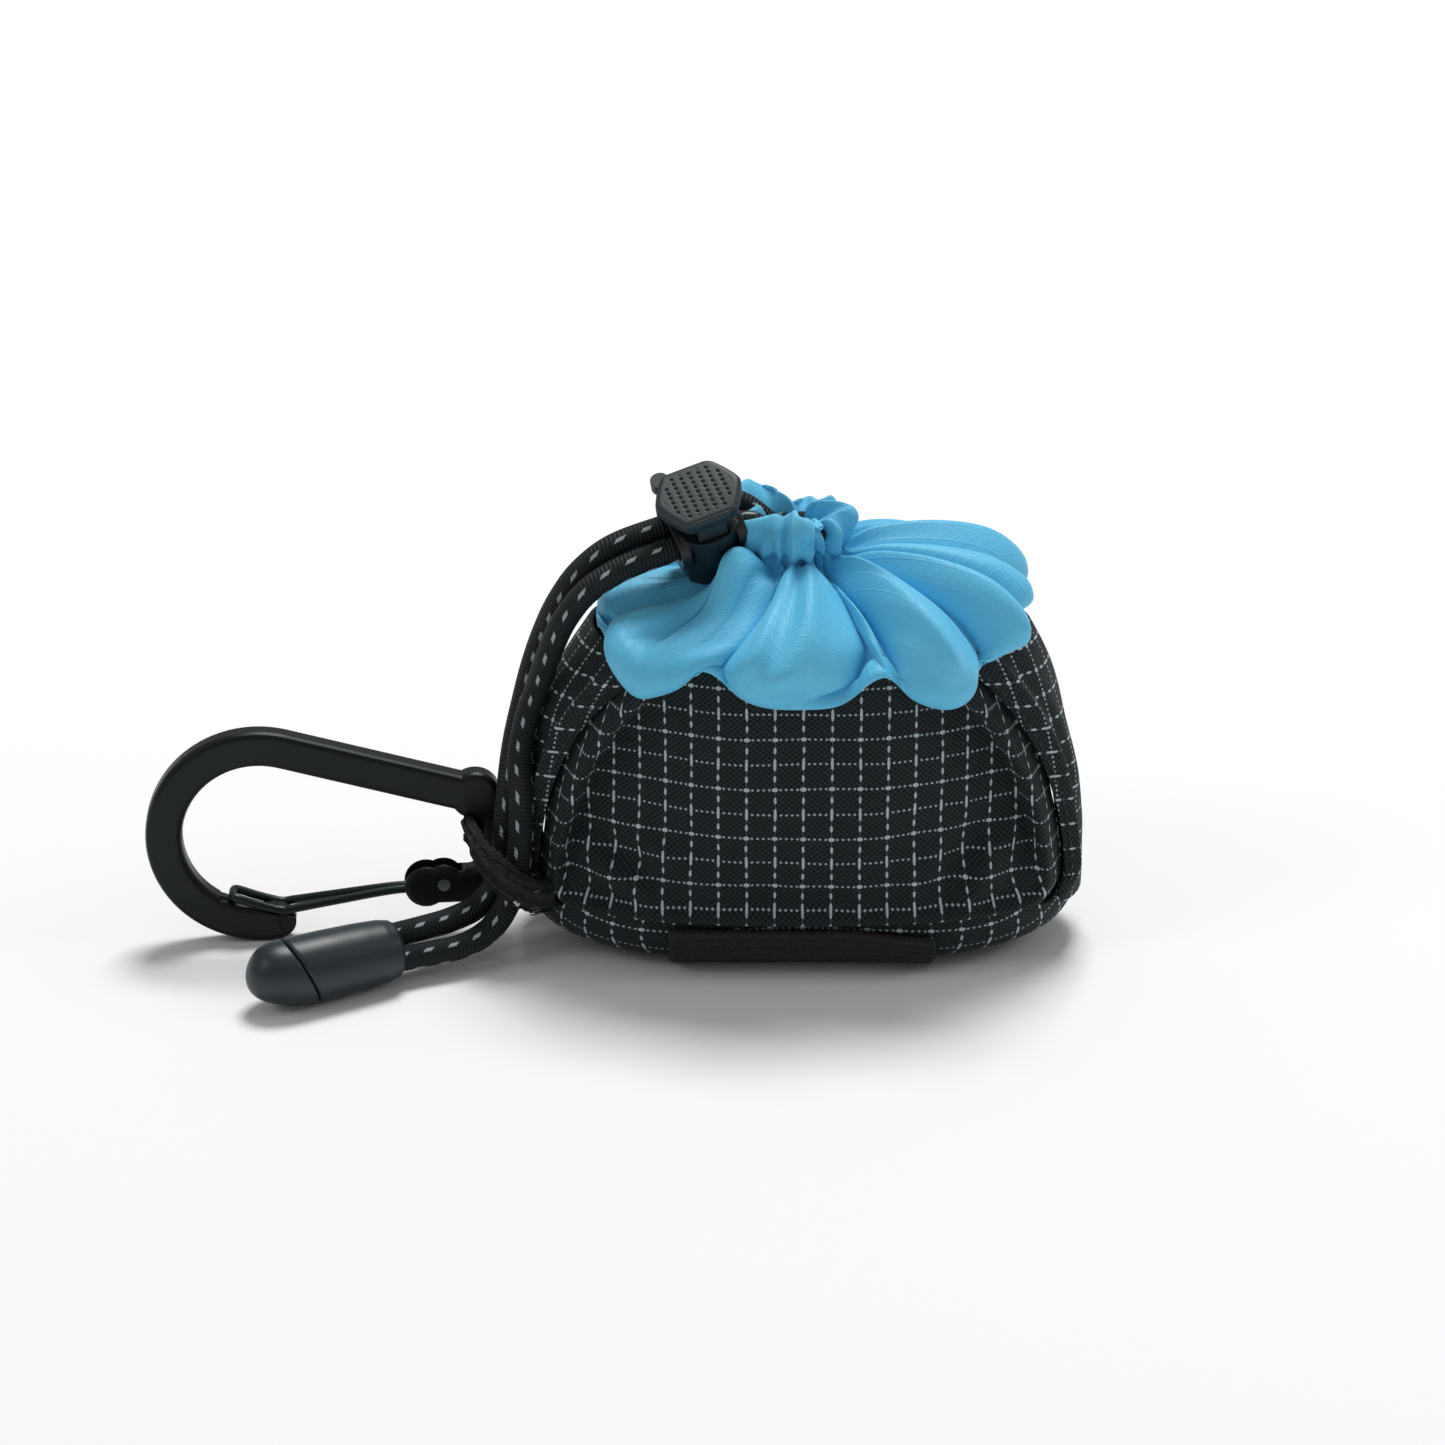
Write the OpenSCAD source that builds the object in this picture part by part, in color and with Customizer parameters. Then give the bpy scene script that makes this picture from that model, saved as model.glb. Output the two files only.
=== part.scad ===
// Half-round drawstring pouch with a cord lock, a cord end and a wire-gate carabiner.
// Millimetres, +Z up. The front panel faces -Y and the carabiner is on the -X side.
// The origin is on the resting surface, under the middle of the pouch.

/* [Pouch] */
// Width across the middle of the two gussets
pouch_w = 90; // [88:0.5:91]
// Depth between the front and back seams, at their middles
pouch_d = 40; // [38:0.5:41]
// Height of the pouch's mouth at front and back
mouth_z = 52; // [50:0.5:53]
// Width between the lower corners of the front panel
seam_w = 83; // [80:0.5:84]
// Height of the seams along the base
seam_z = 8; // [7:0.5:9]
// Radius of the front panel's lower corners
corner_r = 6; // [4:0.5:8]
// Thickness of a padded panel
panel_t = 1.4; // [1:0.1:1.6]

/* [Collar] */
// Half width of the gathered collar where it leaves the mouth
collar_half_w = 35; // [34:0.5:36]
// Half depth of the gathered collar over its front and back folds
collar_half_d = 24.5; // [23:0.5:26]
// Height of the collar's frill
frill_z = 73; // [71:0.5:75]
// Radius of the hole left when the collar is drawn shut
throat_r = 4.4; // [4:0.1:5]
// Thickness of the gathered cloth
cloth_t = 1; // [0.8:0.1:1.2]

/* [Drawcord] */
// Diameter of the elastic drawcord
cord_d = 4; // [3.6:0.1:4]
// Distance between the middles of the two strands in the lock
strand_gap = 4.6; // [4.4:0.1:4.7]

/* [Cord lock] */
// Length of the lock body along the cord
lock_l = 11; // [10:0.5:12]
// Width of the lock body across the two strands
lock_w = 12.8; // [12.6:0.1:13.4]
// Travel of the button
button_travel = 2.4; // [1.5:0.1:2.5]
// Length of the button's thumb pad
pad_l = 13.6; // [12:0.2:14]
// Width of the button's thumb pad
pad_w = 10.8; // [10.4:0.2:11.2]
// Thickness of the button's thumb pad
pad_t = 2.3; // [1.8:0.1:2.6]

/* [Cord end] */
// Outside radius of the cord end
cord_end_r = 5.5; // [5.3:0.1:5.6]
// Length of the cord end's body
cord_end_body_l = 16.4; // [15:0.2:18]
// Length of the cord end's cap
cord_end_cap_l = 8.4; // [8:0.2:10]

/* [Carabiner] */
// Thickness of the plate
plate_t = 4.2; // [4:0.1:4.4]
// Width of the bar
bar_w = 5.8; // [5.4:0.1:6]
// Radius of the rounding along the plate's edges
edge_r = 0.9; // [0.6:0.1:1.2]
// Outside radius of the wide end
wide_r = 18; // [17.5:0.1:18]
// Diameter of the gate wire
wire_d = 1.4; // [1.3:0.1:1.4]
// Radius of the rivet that the gate turns on
rivet_r = 1; // [0.9:0.05:1.1]
// Turn of the carabiner towards the front, about the tab, in degrees
carabiner_yaw = 5; // [0:1:6]

/* [Base strap] */
// Length of the strap sewn under the base
strap_l = 42; // [38:1:46]
// Width of the strap
strap_w = 32; // [28:1:34]
// Thickness of the strap
strap_t = 1.5; // [1.2:0.1:1.6]

/* [Hidden] */
$fn = 48;

gap = 0.1;                     // space left between pieces that are sewn together
round_mid_z = 11;              // height of the widest line of the pouch
seam_round_h = 49;             // height of the front seam's half ellipse
flank_round_h = 70;            // height of the gusset's half ellipse
end_pinch = 10;                // how much shallower the pouch is at its two ends
lean = 2.5;                    // how far the front leans back from base to mouth
gusset_top_z = mouth_z + 2;
base_z = strap_t + gap;        // underside of the base, resting on the strap
columns = 28;                  // steps across a panel
rows = 16;                     // steps up a panel

throat_x = 1.8;
loop_r = throat_r + cloth_t / 2 + cord_d / 2;
loop_z = 67.5;

lock_at = [-15.5, -2.5, 69.4];
lock_turn = [30, -16, 16];
hole_r = cord_d / 2 + 0.25;
lock_top = 3.2;
lock_bottom = -6.8;
button_clear = 0.3;
pad_z = lock_top + button_travel + button_clear;

cord_end_at = [-63.7, -20, cord_end_r];
cord_end_turn = 30.1;          // direction of the cord end, from -X towards -Y
cord_end_roll = -40;           // tilt of the pair of strands in the cord end

tab_axis = [-48.6, -1];        // upright axis that the carabiner swings about
tab_low = 12.6;
tab_high = 19.2;
bar_mid = wide_r - bar_w / 2;  // radius of the bar's middle line at the wide end
wide_at = [-37.8, 18.1];       // middle of the wide end, from the tab's axis
spine_a = 73.8;                // direction square to the straight spine
small_r = 5;                   // bend radius of the bar's middle line at the small end
pin_at = [-8.8, 8.9];          // middle of the gate's rivet, from the tab's axis
nose_a = 280;
slot_w = 3;                    // gap between the two cheeks that hold the gate
kink_at = [-34.4, 5.4];
hook_at = [-42.6, 7.9];
leg_y = 1.75;                  // half the distance between the gate's legs at the nose

// The route of each free strand: out of the lock, over the gusset, through the
// corner tab and along the surface into the cord end.
back_route = [
    lock_point([-lock_l / 2, strand_gap / 2, 0]), lock_point([-14, strand_gap / 2, 0]),
    [-34.5, -4.5, 62.5], [-38, -3, 57], [-40.3, -1, 51.5], [-42.3, 0, 45.5],
    [-44, 0, 39], [-45.5, -1.8, 32.5], [-46.3, -5.2, 26.5], [-46.9, -6.6, 21],
    [-47.3, -6.9, 15.5], [-48.6, -8.2, 11], [-51.5, -10.5, 8.2], [-55.5, -13.2, 7.2],
    [-59.8, -15.9, 7], [-64.5, -18.6, 6.9], [-70.9, -22.3, 6.9]];
front_route = [
    lock_point([-lock_l / 2, -strand_gap / 2, 0]), lock_point([-14, -strand_gap / 2, 0]),
    [-33.2, -9, 61], [-37, -8.2, 55.8], [-39.4, -6.9, 50], [-41.3, -5.4, 44],
    [-43.3, -5, 38], [-44.4, -6.2, 32], [-44.2, -9.3, 26], [-44.3, -10.7, 20.5],
    [-44.9, -11.4, 15], [-46.3, -12.6, 10], [-49, -14.6, 6.4], [-53, -17, 4.6],
    [-58, -19.1, 4.2], [-62.9, -21.4, 4.2], [-69.3, -25.1, 4.2]];
strand_aside = [-0.5, 0.86, 0];
// The tab's tape, seen from above: from the front corner round the strands and
// the carabiner's bar to the back of the corner.
tab_route = [[-40.4, -12.9], [-44.2, -15], [-48.3, -14.3], [-51.2, -9.4],
             [-53, -3], [-52.3, 1.7], [-49.2, 3.6], [-45.6, 3.4]];

// ---- shared geometry -------------------------------------------------------

function reversed(list) = [for (i = [len(list) - 1 : -1 : 0]) list[i]];
function arch(t) = sqrt(max(0, 1 - t * t));
function unit(v) = v / norm(v);

// Half width of the front seam at a height: half an ellipse with rounded corners
function seam_x(z) =
    seam_w / 2 * arch(max(0, (z - round_mid_z) / seam_round_h))
    - corner_r * (1 - arch(max(0, (seam_z + corner_r - z) / corner_r)));
// Half width of the pouch midway between its seams
function flank_x(z) = pouch_w / 2 * arch(max(0, (z - round_mid_z) / flank_round_h));
// Half depth of the pouch at a seam
function seam_y(x, z) =
    pouch_d / 2 - end_pinch * pow(abs(x) * 2 / seam_w, 3)
    - lean * (z - seam_z) / (mouth_z - seam_z);
// How far round the gusset bulges, from 0 at a seam to 1 midway
function bulge(q) = pow(max(0, 1 - q * q), 0.6);

// A solid through a list of closed sections, each with the same even number of points
module loft(sections) {
    n = len(sections);
    m = len(sections[0]);
    points = [for (s = sections) each s];
    sides = [for (k = [0 : n - 2], i = [0 : m - 1])
        let (a = k * m + i, b = k * m + (i + 1) % m)
        each [[a, a + m, b + m], [a, b + m, b]]];
    first = [for (i = [0 : m / 2 - 2])
        each [[i, i + 1, m - 2 - i], [i, m - 2 - i, m - 1 - i]]];
    last = [for (f = first) [for (v = reversed(f)) v + (n - 1) * m]];
    polyhedron(points, concat(sides, first, last), 4);
}

// The same, with the last section joined to the first
module ring_loft(sections) {
    n = len(sections);
    m = len(sections[0]);
    points = [for (s = sections) each s];
    sides = [for (k = [0 : n - 1], i = [0 : m - 1])
        let (a = k * m, b = ((k + 1) % n) * m, j = (i + 1) % m)
        each [[a + i, b + i, b + j], [a + i, b + j, a + j]]];
    polyhedron(points, sides, 4);
}

// A round tube whose middle line passes through the route's points. No stretch of
// the route may run along the direction "aside", which keeps the tube untwisted.
module tube(route, d, sides, aside = [0.1, 0, 1]) {
    n = len(route);
    sections = [for (k = [0 : n - 1])
        let (t = unit(route[min(k + 1, n - 1)] - route[max(k - 1, 0)]),
             u = unit(cross(t, aside)),
             v = cross(t, u))
        [for (i = [0 : sides - 1])
            route[k] + d / 2 * (u * cos(i * 360 / sides) + v * sin(i * 360 / sides))]];
    loft(sections);
}

// ---- pouch -----------------------------------------------------------------

function panel_row(z, t) =
    [for (i = [0 : columns])
        let (x = seam_x(z) * (2 * i / columns - 1)) [x, -seam_y(x, z) + t, z]];

module face_panel() {
    loft([for (j = [0 : rows])
        let (z = seam_z + (mouth_z - seam_z) * pow(j / rows, 1.5))
        concat(panel_row(z, 0), reversed(panel_row(z, panel_t)))]);
}

module front_panel() {
    color("#1b1d20") face_panel();
}

module back_panel() {
    color("#1b1d20") rotate([0, 0, 180]) face_panel();
}

function gusset_row(z, t) =
    let (edge_y = seam_y(seam_x(z), z) - panel_t - gap)
    [for (i = [0 : columns])
        let (q = 2 * i / columns - 1)
        [seam_x(z) + (flank_x(z) - seam_x(z)) * bulge(q) - t, q * edge_y, z]];

module gusset() {
    low = seam_z + panel_t + gap;
    color("#1d1f22")
    loft([for (j = [0 : rows])
        let (z = low + (gusset_top_z - low) * pow(j / rows, 1.5))
        concat(gusset_row(z, 0), reversed(gusset_row(z, panel_t)))]);
}

module gusset_right() {
    gusset();
}

module gusset_left() {
    rotate([0, 0, 180]) gusset();
}

// The base's edge seen from above, anticlockwise: front, right end, back, left end
base_foot = seam_x(seam_z);
function base_edge_y(x) = seam_y(x, seam_z) - panel_t - 4 * gap;
base_front = [for (i = [-6 : 6]) let (x = base_foot * i / 6) [x, -base_edge_y(x)]];
base_end = [for (i = [-4 : 4])
    [base_foot + (flank_x(seam_z) - base_foot) * bulge(i / 5), i / 5 * base_edge_y(base_foot)]];
base_outline = concat(base_front, base_end, [for (p = base_front) -p], [for (p = base_end) -p]);

// The space inside the base's outer face, or inside its inner face when inset
module basin(inset) {
    levels = [[base_z, 0.76], [2.8, 0.88], [5, 0.95], [seam_z + panel_t, 1]];
    half = [flank_x(seam_z), base_edge_y(0)];
    loft([for (level = levels)
        [for (p = base_outline)
            [p[0] * (level[1] - inset / half[0]), p[1] * (level[1] - inset / half[1]),
             level[0] + inset]]]);
}

module base_panel() {
    color("#17181b")
    difference() {
        basin(0);
        basin(panel_t);
    }
}

// A folded tape over the raw edges inside a seam, from the base up one side,
// drawn for both sides
module seam_binding() {
    tape_w = 4;
    tape_t = 1;
    inset = panel_t + 1.6;
    low = 15;
    high = mouth_z - 1;
    color("#101113")
    for (side = [-1, 1])
        loft([for (j = [0 : 10])
            let (z = low + (high - low) * j / 10,
                 x = seam_x(z) - inset,
                 y = -seam_y(seam_x(z), z) + inset,
                 c = [[x, y], [x - tape_t, y], [x - tape_t, y + tape_w], [x, y + tape_w]])
            [for (p = side < 0 ? c : reversed(c)) [side * p[0], p[1], z]]]);
}

module front_seam_binding() {
    seam_binding();
}

module back_seam_binding() {
    rotate([0, 0, 180]) seam_binding();
}

// ---- collar ----------------------------------------------------------------

// The collar's outline along one direction: [share of width, share of depth, z]
// from its lower edge, over the puffed folds, into the throat and up the frill.
function collar_point(a, half_w, half_d, z) =
    [throat_x * (z - mouth_z) / (frill_z - mouth_z) + half_w * cos(a), half_d * sin(a), z];

function collar_section(a) =
    let (droop = 7.2 * pow(sin(a), 6),
         edge_z = gusset_top_z + 0.4 - droop,
         neck = loop_r + cord_d / 2 + cloth_t - 0.2,
         bore = throat_r)
    [collar_point(a, collar_half_w - 1, collar_half_d - 2.5, edge_z),
     collar_point(a, collar_half_w, collar_half_d, edge_z + 3),
     collar_point(a, collar_half_w - 5, collar_half_d - 1.5, 57.4),
     collar_point(a, 21, 16, 57.8),
     collar_point(a, neck + 1, neck + 0.5, 58.6),
     collar_point(a, neck, neck, 63.5),
     collar_point(a, neck, neck, 70.5),
     collar_point(a, neck - 1, neck - 1, frill_z),
     collar_point(a, bore + 0.8, bore + 0.8, frill_z),
     collar_point(a, bore, bore, 70.5),
     collar_point(a, bore, bore, 62),
     collar_point(a, bore + 1.5, bore + 1.5, 59 - cloth_t),
     collar_point(a, 20, 15, 57.8 - cloth_t),
     collar_point(a, collar_half_w - 6, collar_half_d - 2.5, 57.4 - cloth_t),
     collar_point(a, collar_half_w - 1.1, collar_half_d - 1.1, edge_z + 2.8),
     collar_point(a, collar_half_w - 2, collar_half_d - 3.5, edge_z)];

module collar() {
    color("#4fb4e8") ring_loft([for (k = [0 : 59]) collar_section(-k * 6)]);
}

// ---- drawcord --------------------------------------------------------------

// Turns a point given in the lock's own directions into the pouch's
function turn_x(p, a) = [p[0], p[1] * cos(a) - p[2] * sin(a), p[1] * sin(a) + p[2] * cos(a)];
function turn_y(p, a) = [p[0] * cos(a) + p[2] * sin(a), p[1], p[2] * cos(a) - p[0] * sin(a)];
function turn_z(p, a) = [p[0] * cos(a) - p[1] * sin(a), p[0] * sin(a) + p[1] * cos(a), p[2]];
function lock_point(p) =
    lock_at + turn_z(turn_y(turn_x(p, lock_turn[0]), lock_turn[1]), lock_turn[2]);

function loop_route() =
    concat(
        [for (x = [-lock_l / 2, 0, lock_l / 2 + 0.6]) lock_point([x, strand_gap / 2, 0])],
        [for (a = [145 : -20 : -155]) [throat_x + loop_r * cos(a), loop_r * sin(a), loop_z]],
        [for (x = [lock_l / 2 + 0.6, 0, -lock_l / 2]) lock_point([x, -strand_gap / 2, 0])]);

module drawcord_loop() {
    color("#26282a") tube(loop_route(), cord_d, 10);
}

module cord_strand_back() {
    color("#26282a") tube(back_route, cord_d, 8, strand_aside);
}

module cord_strand_front() {
    color("#26282a") tube(front_route, cord_d, 8, strand_aside);
}

// ---- corner tab ------------------------------------------------------------

module corner_tab() {
    tape_t = 1.2;
    n = len(tab_route);
    color("#2a2c2f")
    loft([for (k = [0 : n - 1])
        let (t = unit(tab_route[min(k + 1, n - 1)] - tab_route[max(k - 1, 0)]),
             side = [-t[1], t[0]] * tape_t / 2,
             outer = tab_route[k] + side,
             inner = tab_route[k] - side)
        [[inner[0], inner[1], tab_low], [outer[0], outer[1], tab_low],
         [outer[0], outer[1], tab_high], [inner[0], inner[1], tab_high]]]);
}

module tab_bartack() {
    color("#c9ccd0")
    for (z = [tab_low + 1 : 1.2 : tab_high - 1])
        translate([-41.93, -14.88, z]) rotate([0, 90, 28.5]) cylinder(h = 2.6, r = 0.3, center = true);
}

// ---- strap under the base --------------------------------------------------

module base_strap() {
    color("#141517")
    translate([-strap_l / 2, -strap_w / 2, 0]) cube([strap_l, strap_w, strap_t]);
}

module strap_bartacks() {
    color("#0e0f10")
    for (side = [-1, 1], k = [-3 : 3])
        translate([side * (strap_l / 2 + 0.5), k * 4, strap_t - 0.45])
            rotate([90, 0, 0]) cylinder(h = 3, r = 0.35, center = true);
}

// ---- cord lock -------------------------------------------------------------

module place_lock() {
    translate(lock_at) rotate(lock_turn) children();
}

// Two round ends joined by a straight middle, standing along Z
module oval_bar(length, width, height) {
    for (side = [-1, 1])
        translate([0, side * (length - width) / 2, 0]) cylinder(h = height, d = width);
    translate([-width / 2, -(length - width) / 2, 0]) cube([width, length - width, height]);
}

// The way through for both strands, along X
module strand_slot(length) {
    translate([-length / 2, 0, 0]) rotate([0, 90, 0])
        oval_bar(strand_gap + 2 * hole_r, 2 * hole_r, length);
}

module lock_body() {
    wall = 0.8;
    well_l = 5.2;
    color("#2b2e30")
    place_lock()
    difference() {
        union() {
            // the middle of the body, a boxy cup with rounded ends
            translate([0, 0, lock_bottom])
                intersection() {
                    oval_bar(lock_w, lock_l, lock_top - lock_bottom);
                    translate([-lock_l / 2 + 1, -lock_w / 2, 0])
                        cube([lock_l - 2, lock_w, lock_top - lock_bottom]);
                }
            // the flange at each end, round the strands
            for (x = [-lock_l / 2, lock_l / 2 - 1.6])
                translate([x, 0, -0.4]) rotate([0, 90, 0]) oval_bar(11.4, 7.4, 1.6);
        }
        strand_slot(lock_l + 2);
        // the well that the button slides in
        translate([-well_l / 2, -lock_w / 2 + wall, lock_bottom + wall])
            cube([well_l, lock_w - 2 * wall, 20]);
    }
}

module lock_button() {
    neck_l = 4.6;
    neck_w = lock_w - 2 * 0.8 - 0.6;
    neck_low = -hole_r - 1.05;
    window_top = hole_r + button_travel + 0.1;
    color("#34373a")
    place_lock() {
        difference() {
            translate([-neck_l / 2, -neck_w / 2, neck_low])
                cube([neck_l, neck_w, pad_z - neck_low + 0.2]);
            // the window that the strands pass through
            translate([-neck_l, -strand_gap / 2 - hole_r, -hole_r])
                cube([2 * neck_l, strand_gap + 2 * hole_r, window_top + hole_r]);
        }
        // the thumb pad, a long hexagon with rounded corners
        translate([0, 0, pad_z])
            hull() {
                for (side = [-1, 1]) {
                    translate([side * (pad_l / 2 - 1.6), 0, 0.5])
                        cylinder(h = pad_t - 1.1, r = 1.6, $fn = 32);
                    translate([side * (pad_l / 2 - 4), pad_w / 2 - 1.6, 0])
                        cylinder(h = pad_t, r = 1.6, $fn = 32);
                    translate([side * (pad_l / 2 - 4), -pad_w / 2 + 1.6, 0])
                        cylinder(h = pad_t, r = 1.6, $fn = 32);
                }
            }
        // the lug at the back corner
        translate([-4.4, pad_w / 2 - 0.4, pad_z + 0.2]) cylinder(h = pad_t - 0.4, r = 1.5);
    }
}

// A cone-shaped coil that flattens when the button goes down
module lock_spring() {
    turns = 3;
    steps = 12;
    floor_z = lock_bottom + 0.8 + 0.35;
    rise = 1.7;
    coil = [for (i = [0 : turns * steps])
        let (t = i / (turns * steps), r = 2.3 - 1.1 * t)
        [r * cos(i * 360 / steps), r * sin(i * 360 / steps), floor_z + rise * t]];
    color("#9aa0a4") place_lock() tube(coil, 0.4, 6);
}

// ---- cord end --------------------------------------------------------------

// X runs from the strands' entry towards the dome
module place_cord_end() {
    translate(cord_end_at) rotate([0, 0, 180 + cord_end_turn]) children();
}

module cord_end_body() {
    wall = 1;
    knot_room_r = cord_end_r - wall;
    color("#2e3a41")
    place_cord_end()
    difference() {
        rotate([0, 90, 0]) rotate_extrude() polygon([
            [0, 0], [4.6, 0], [4.9, 0.5], [5.1, 4], [cord_end_r - 0.1, 10],
            [cord_end_r, cord_end_body_l - 0.4], [cord_end_r - 0.4, cord_end_body_l],
            [0, cord_end_body_l]]);
        // the entry for the two strands
        rotate([cord_end_roll, 0, 0]) translate([-1, 0, 0]) rotate([0, 90, 0])
            oval_bar(2 * hole_r + 4.1, 2 * hole_r - 0.3, 8);
        // the room for the knot
        translate([6, 0, 0]) rotate([0, 90, 0]) cylinder(h = 20, r = knot_room_r);
    }
}

module cord_end_cap() {
    plug_r = cord_end_r - 1.1;
    color("#33424a")
    place_cord_end()
    translate([cord_end_body_l + 0.3, 0, 0]) rotate([0, 90, 0]) rotate_extrude() polygon(concat(
        [[0, -1.5], [plug_r, -1.5], [plug_r, 0], [cord_end_r - 0.4, 0]],
        [for (a = [0 : 10 : 90])
            [cord_end_r * cos(a), 0.4 + (cord_end_cap_l - 0.4) * sin(a)]]));
}

module cord_knot() {
    color("#26282a")
    place_cord_end()
    translate([9.4, 0, 0]) rotate([0, 90, 0])
        rotate_extrude() translate([1.9, 0]) circle(r = 1.9);
}

// ---- carabiner -------------------------------------------------------------

// X and Z lie in the plate, counted from the tab's upright axis
module place_carabiner() {
    translate([tab_axis[0], tab_axis[1], 0]) rotate([0, 0, carabiner_yaw]) children();
}

// The bar's section, across the bar and through the plate, with its edges broken
function bar_outline(r0, r1) =
    let (h = plate_t / 2, e = edge_r, s = edge_r * 0.3)
    [[r0 + e, -h], [r1 - e, -h], [r1 - s, s - h], [r1, e - h],
     [r1, h - e], [r1 - s, h - s], [r1 - e, h], [r0 + e, h],
     [r0 + s, h - s], [r0, h - e], [r0, e - h], [r0 + s, s - h]];

// A bend in the bar about a point of the plate, from angle a to angle b
module bend(at, r, a, b) {
    translate([at[0], 0, at[1]]) rotate([90, 0, 0])
        rotate([0, 0, a]) rotate_extrude(angle = b - a)
            polygon(bar_outline(r - bar_w / 2, r + bar_w / 2));
}

// A straight stretch of bar from one point of the plate to another
module straight(p, q) {
    way = q - p;
    translate([p[0], 0, p[1]]) rotate([0, -atan2(way[1], way[0]), 0])
        rotate([0, 90, 0]) linear_extrude(norm(way)) polygon(bar_outline(-bar_w / 2, bar_w / 2));
}

// A round boss as thick as the plate, with the same edges
module boss(at, r) {
    rim = [for (p = bar_outline(-r, r)) if (p[0] > 0) p];
    translate([at[0], 0, at[1]]) rotate([90, 0, 0])
        rotate_extrude() polygon(concat([[0, -plate_t / 2]], rim, [[0, plate_t / 2]]));
}

function plate_dir(a) = [cos(a), sin(a)];
spine_start = wide_at + bar_mid * plate_dir(spine_a);
spine_overlap = 0.3 * [sin(spine_a), -cos(spine_a)];
upper_x = -small_r;
upper_z = (wide_at * plate_dir(spine_a) + bar_mid - small_r - upper_x * cos(spine_a)) / sin(spine_a);
upper_at = [upper_x, upper_z];
lower_at = [upper_x, 13.4];
nose_at = wide_at + bar_mid * plate_dir(nose_a);
ear_at = [-11.6, 8.5];
ear_r = 3.6;

module carabiner_body() {
    color("#17191b")
    place_carabiner()
    difference() {
        union() {
            bend(wide_at, bar_mid, spine_a, nose_a);
            translate([nose_at[0], 0, nose_at[1]]) rotate([90, 0, 0])
                cylinder(h = plate_t - 1.2, r = bar_w / 2 - 0.3, center = true);
            straight(spine_start - spine_overlap, upper_at + small_r * plate_dir(spine_a));
            bend(upper_at, small_r, 0, spine_a);
            straight(upper_at + [small_r, 0], lower_at + [small_r, 0]);
            bend(lower_at, small_r, -90, 0);
            straight(lower_at - [0, small_r], ear_at + [0, -0.1]);
            boss([-3.4, 24], 4);
            boss(pin_at, ear_r - 0.2);
            boss(ear_at, ear_r);
        }
        // the slot between the cheeks
        translate([ear_at[0] - ear_r - 1, -slot_w / 2, 0])
            cube([ear_r + 1 + pin_at[0] - ear_at[0] + 3, slot_w, 14]);
        // the rivet's hole
        translate([pin_at[0], 0, pin_at[1]]) rotate([90, 0, 0])
            cylinder(h = plate_t + 2, r = rivet_r, center = true);
        // the nose is thinned on both faces for the gate's legs
        for (side = [-1, 1])
            translate([kink_at[0], side * (0.75 + 2), kink_at[1]])
                rotate([0, atan2(hook_at[1] - kink_at[1], kink_at[0] - hook_at[0]), 0])
                    translate([-10.4, -2, -wire_d / 2 - 0.35]) cube([16, 4, 12]);
    }
}

module gate_wire() {
    eye_y = 0.72;
    eye_w = 1.4;
    // one leg, from its eye to the middle of the hook
    leg = [[pin_at[0] - 1.6, eye_y, pin_at[1] - 0.3], [-17, eye_y, 7.8],
           [kink_at[0], leg_y, kink_at[1]],
           [hook_at[0] + 0.9, leg_y, hook_at[1] - 0.2], [hook_at[0] + 0.2, leg_y - 0.3, hook_at[1]],
           [hook_at[0], leg_y - 0.9, hook_at[1]]];
    color("#3a3d40")
    place_carabiner()
    difference() {
        union() {
            tube(concat(leg, [for (p = reversed(leg)) [p[0], -p[1], p[2]]]), wire_d, 12);
            for (side = [-1, 1])
                translate([pin_at[0], side * eye_y, pin_at[1]]) rotate([90, 0, 0])
                    cylinder(h = eye_w, r = 2.3, center = true);
        }
        translate([pin_at[0], 0, pin_at[1]]) rotate([90, 0, 0])
            cylinder(h = plate_t, r = rivet_r + 0.05, center = true);
    }
}

module gate_rivet() {
    color("#8d9296")
    place_carabiner()
    translate([pin_at[0], 0, pin_at[1]]) rotate([90, 0, 0])
        cylinder(h = plate_t, r = rivet_r, center = true);
}

// ----------------------------------------------------------------------------

front_panel();
back_panel();
gusset_left();
gusset_right();
base_panel();
front_seam_binding();
back_seam_binding();
collar();
drawcord_loop();
cord_strand_back();
cord_strand_front();
corner_tab();
tab_bartack();
base_strap();
strap_bartacks();
lock_body();
lock_button();
lock_spring();
cord_end_body();
cord_end_cap();
cord_knot();
carabiner_body();
gate_wire();
gate_rivet();
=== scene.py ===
"""A small half-round drawstring pouch with a cord lock, a cord end and a wire-gate
carabiner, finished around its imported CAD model. Metres, +Z up, front towards -Y."""

import bpy
import numpy as np
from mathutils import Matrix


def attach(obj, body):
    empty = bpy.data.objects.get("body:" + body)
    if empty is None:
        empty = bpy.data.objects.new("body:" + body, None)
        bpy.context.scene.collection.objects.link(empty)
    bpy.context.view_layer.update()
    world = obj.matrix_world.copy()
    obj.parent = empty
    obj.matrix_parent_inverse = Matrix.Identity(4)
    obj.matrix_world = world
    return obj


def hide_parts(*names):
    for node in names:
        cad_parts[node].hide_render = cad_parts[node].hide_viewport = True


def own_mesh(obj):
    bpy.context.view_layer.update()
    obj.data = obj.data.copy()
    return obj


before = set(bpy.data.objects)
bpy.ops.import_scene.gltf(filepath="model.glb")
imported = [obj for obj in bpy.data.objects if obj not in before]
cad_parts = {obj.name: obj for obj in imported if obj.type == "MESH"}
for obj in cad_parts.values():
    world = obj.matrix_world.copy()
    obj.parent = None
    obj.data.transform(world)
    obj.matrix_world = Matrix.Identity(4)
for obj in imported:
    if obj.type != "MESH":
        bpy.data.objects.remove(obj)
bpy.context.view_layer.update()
MM = 0.001

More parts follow.
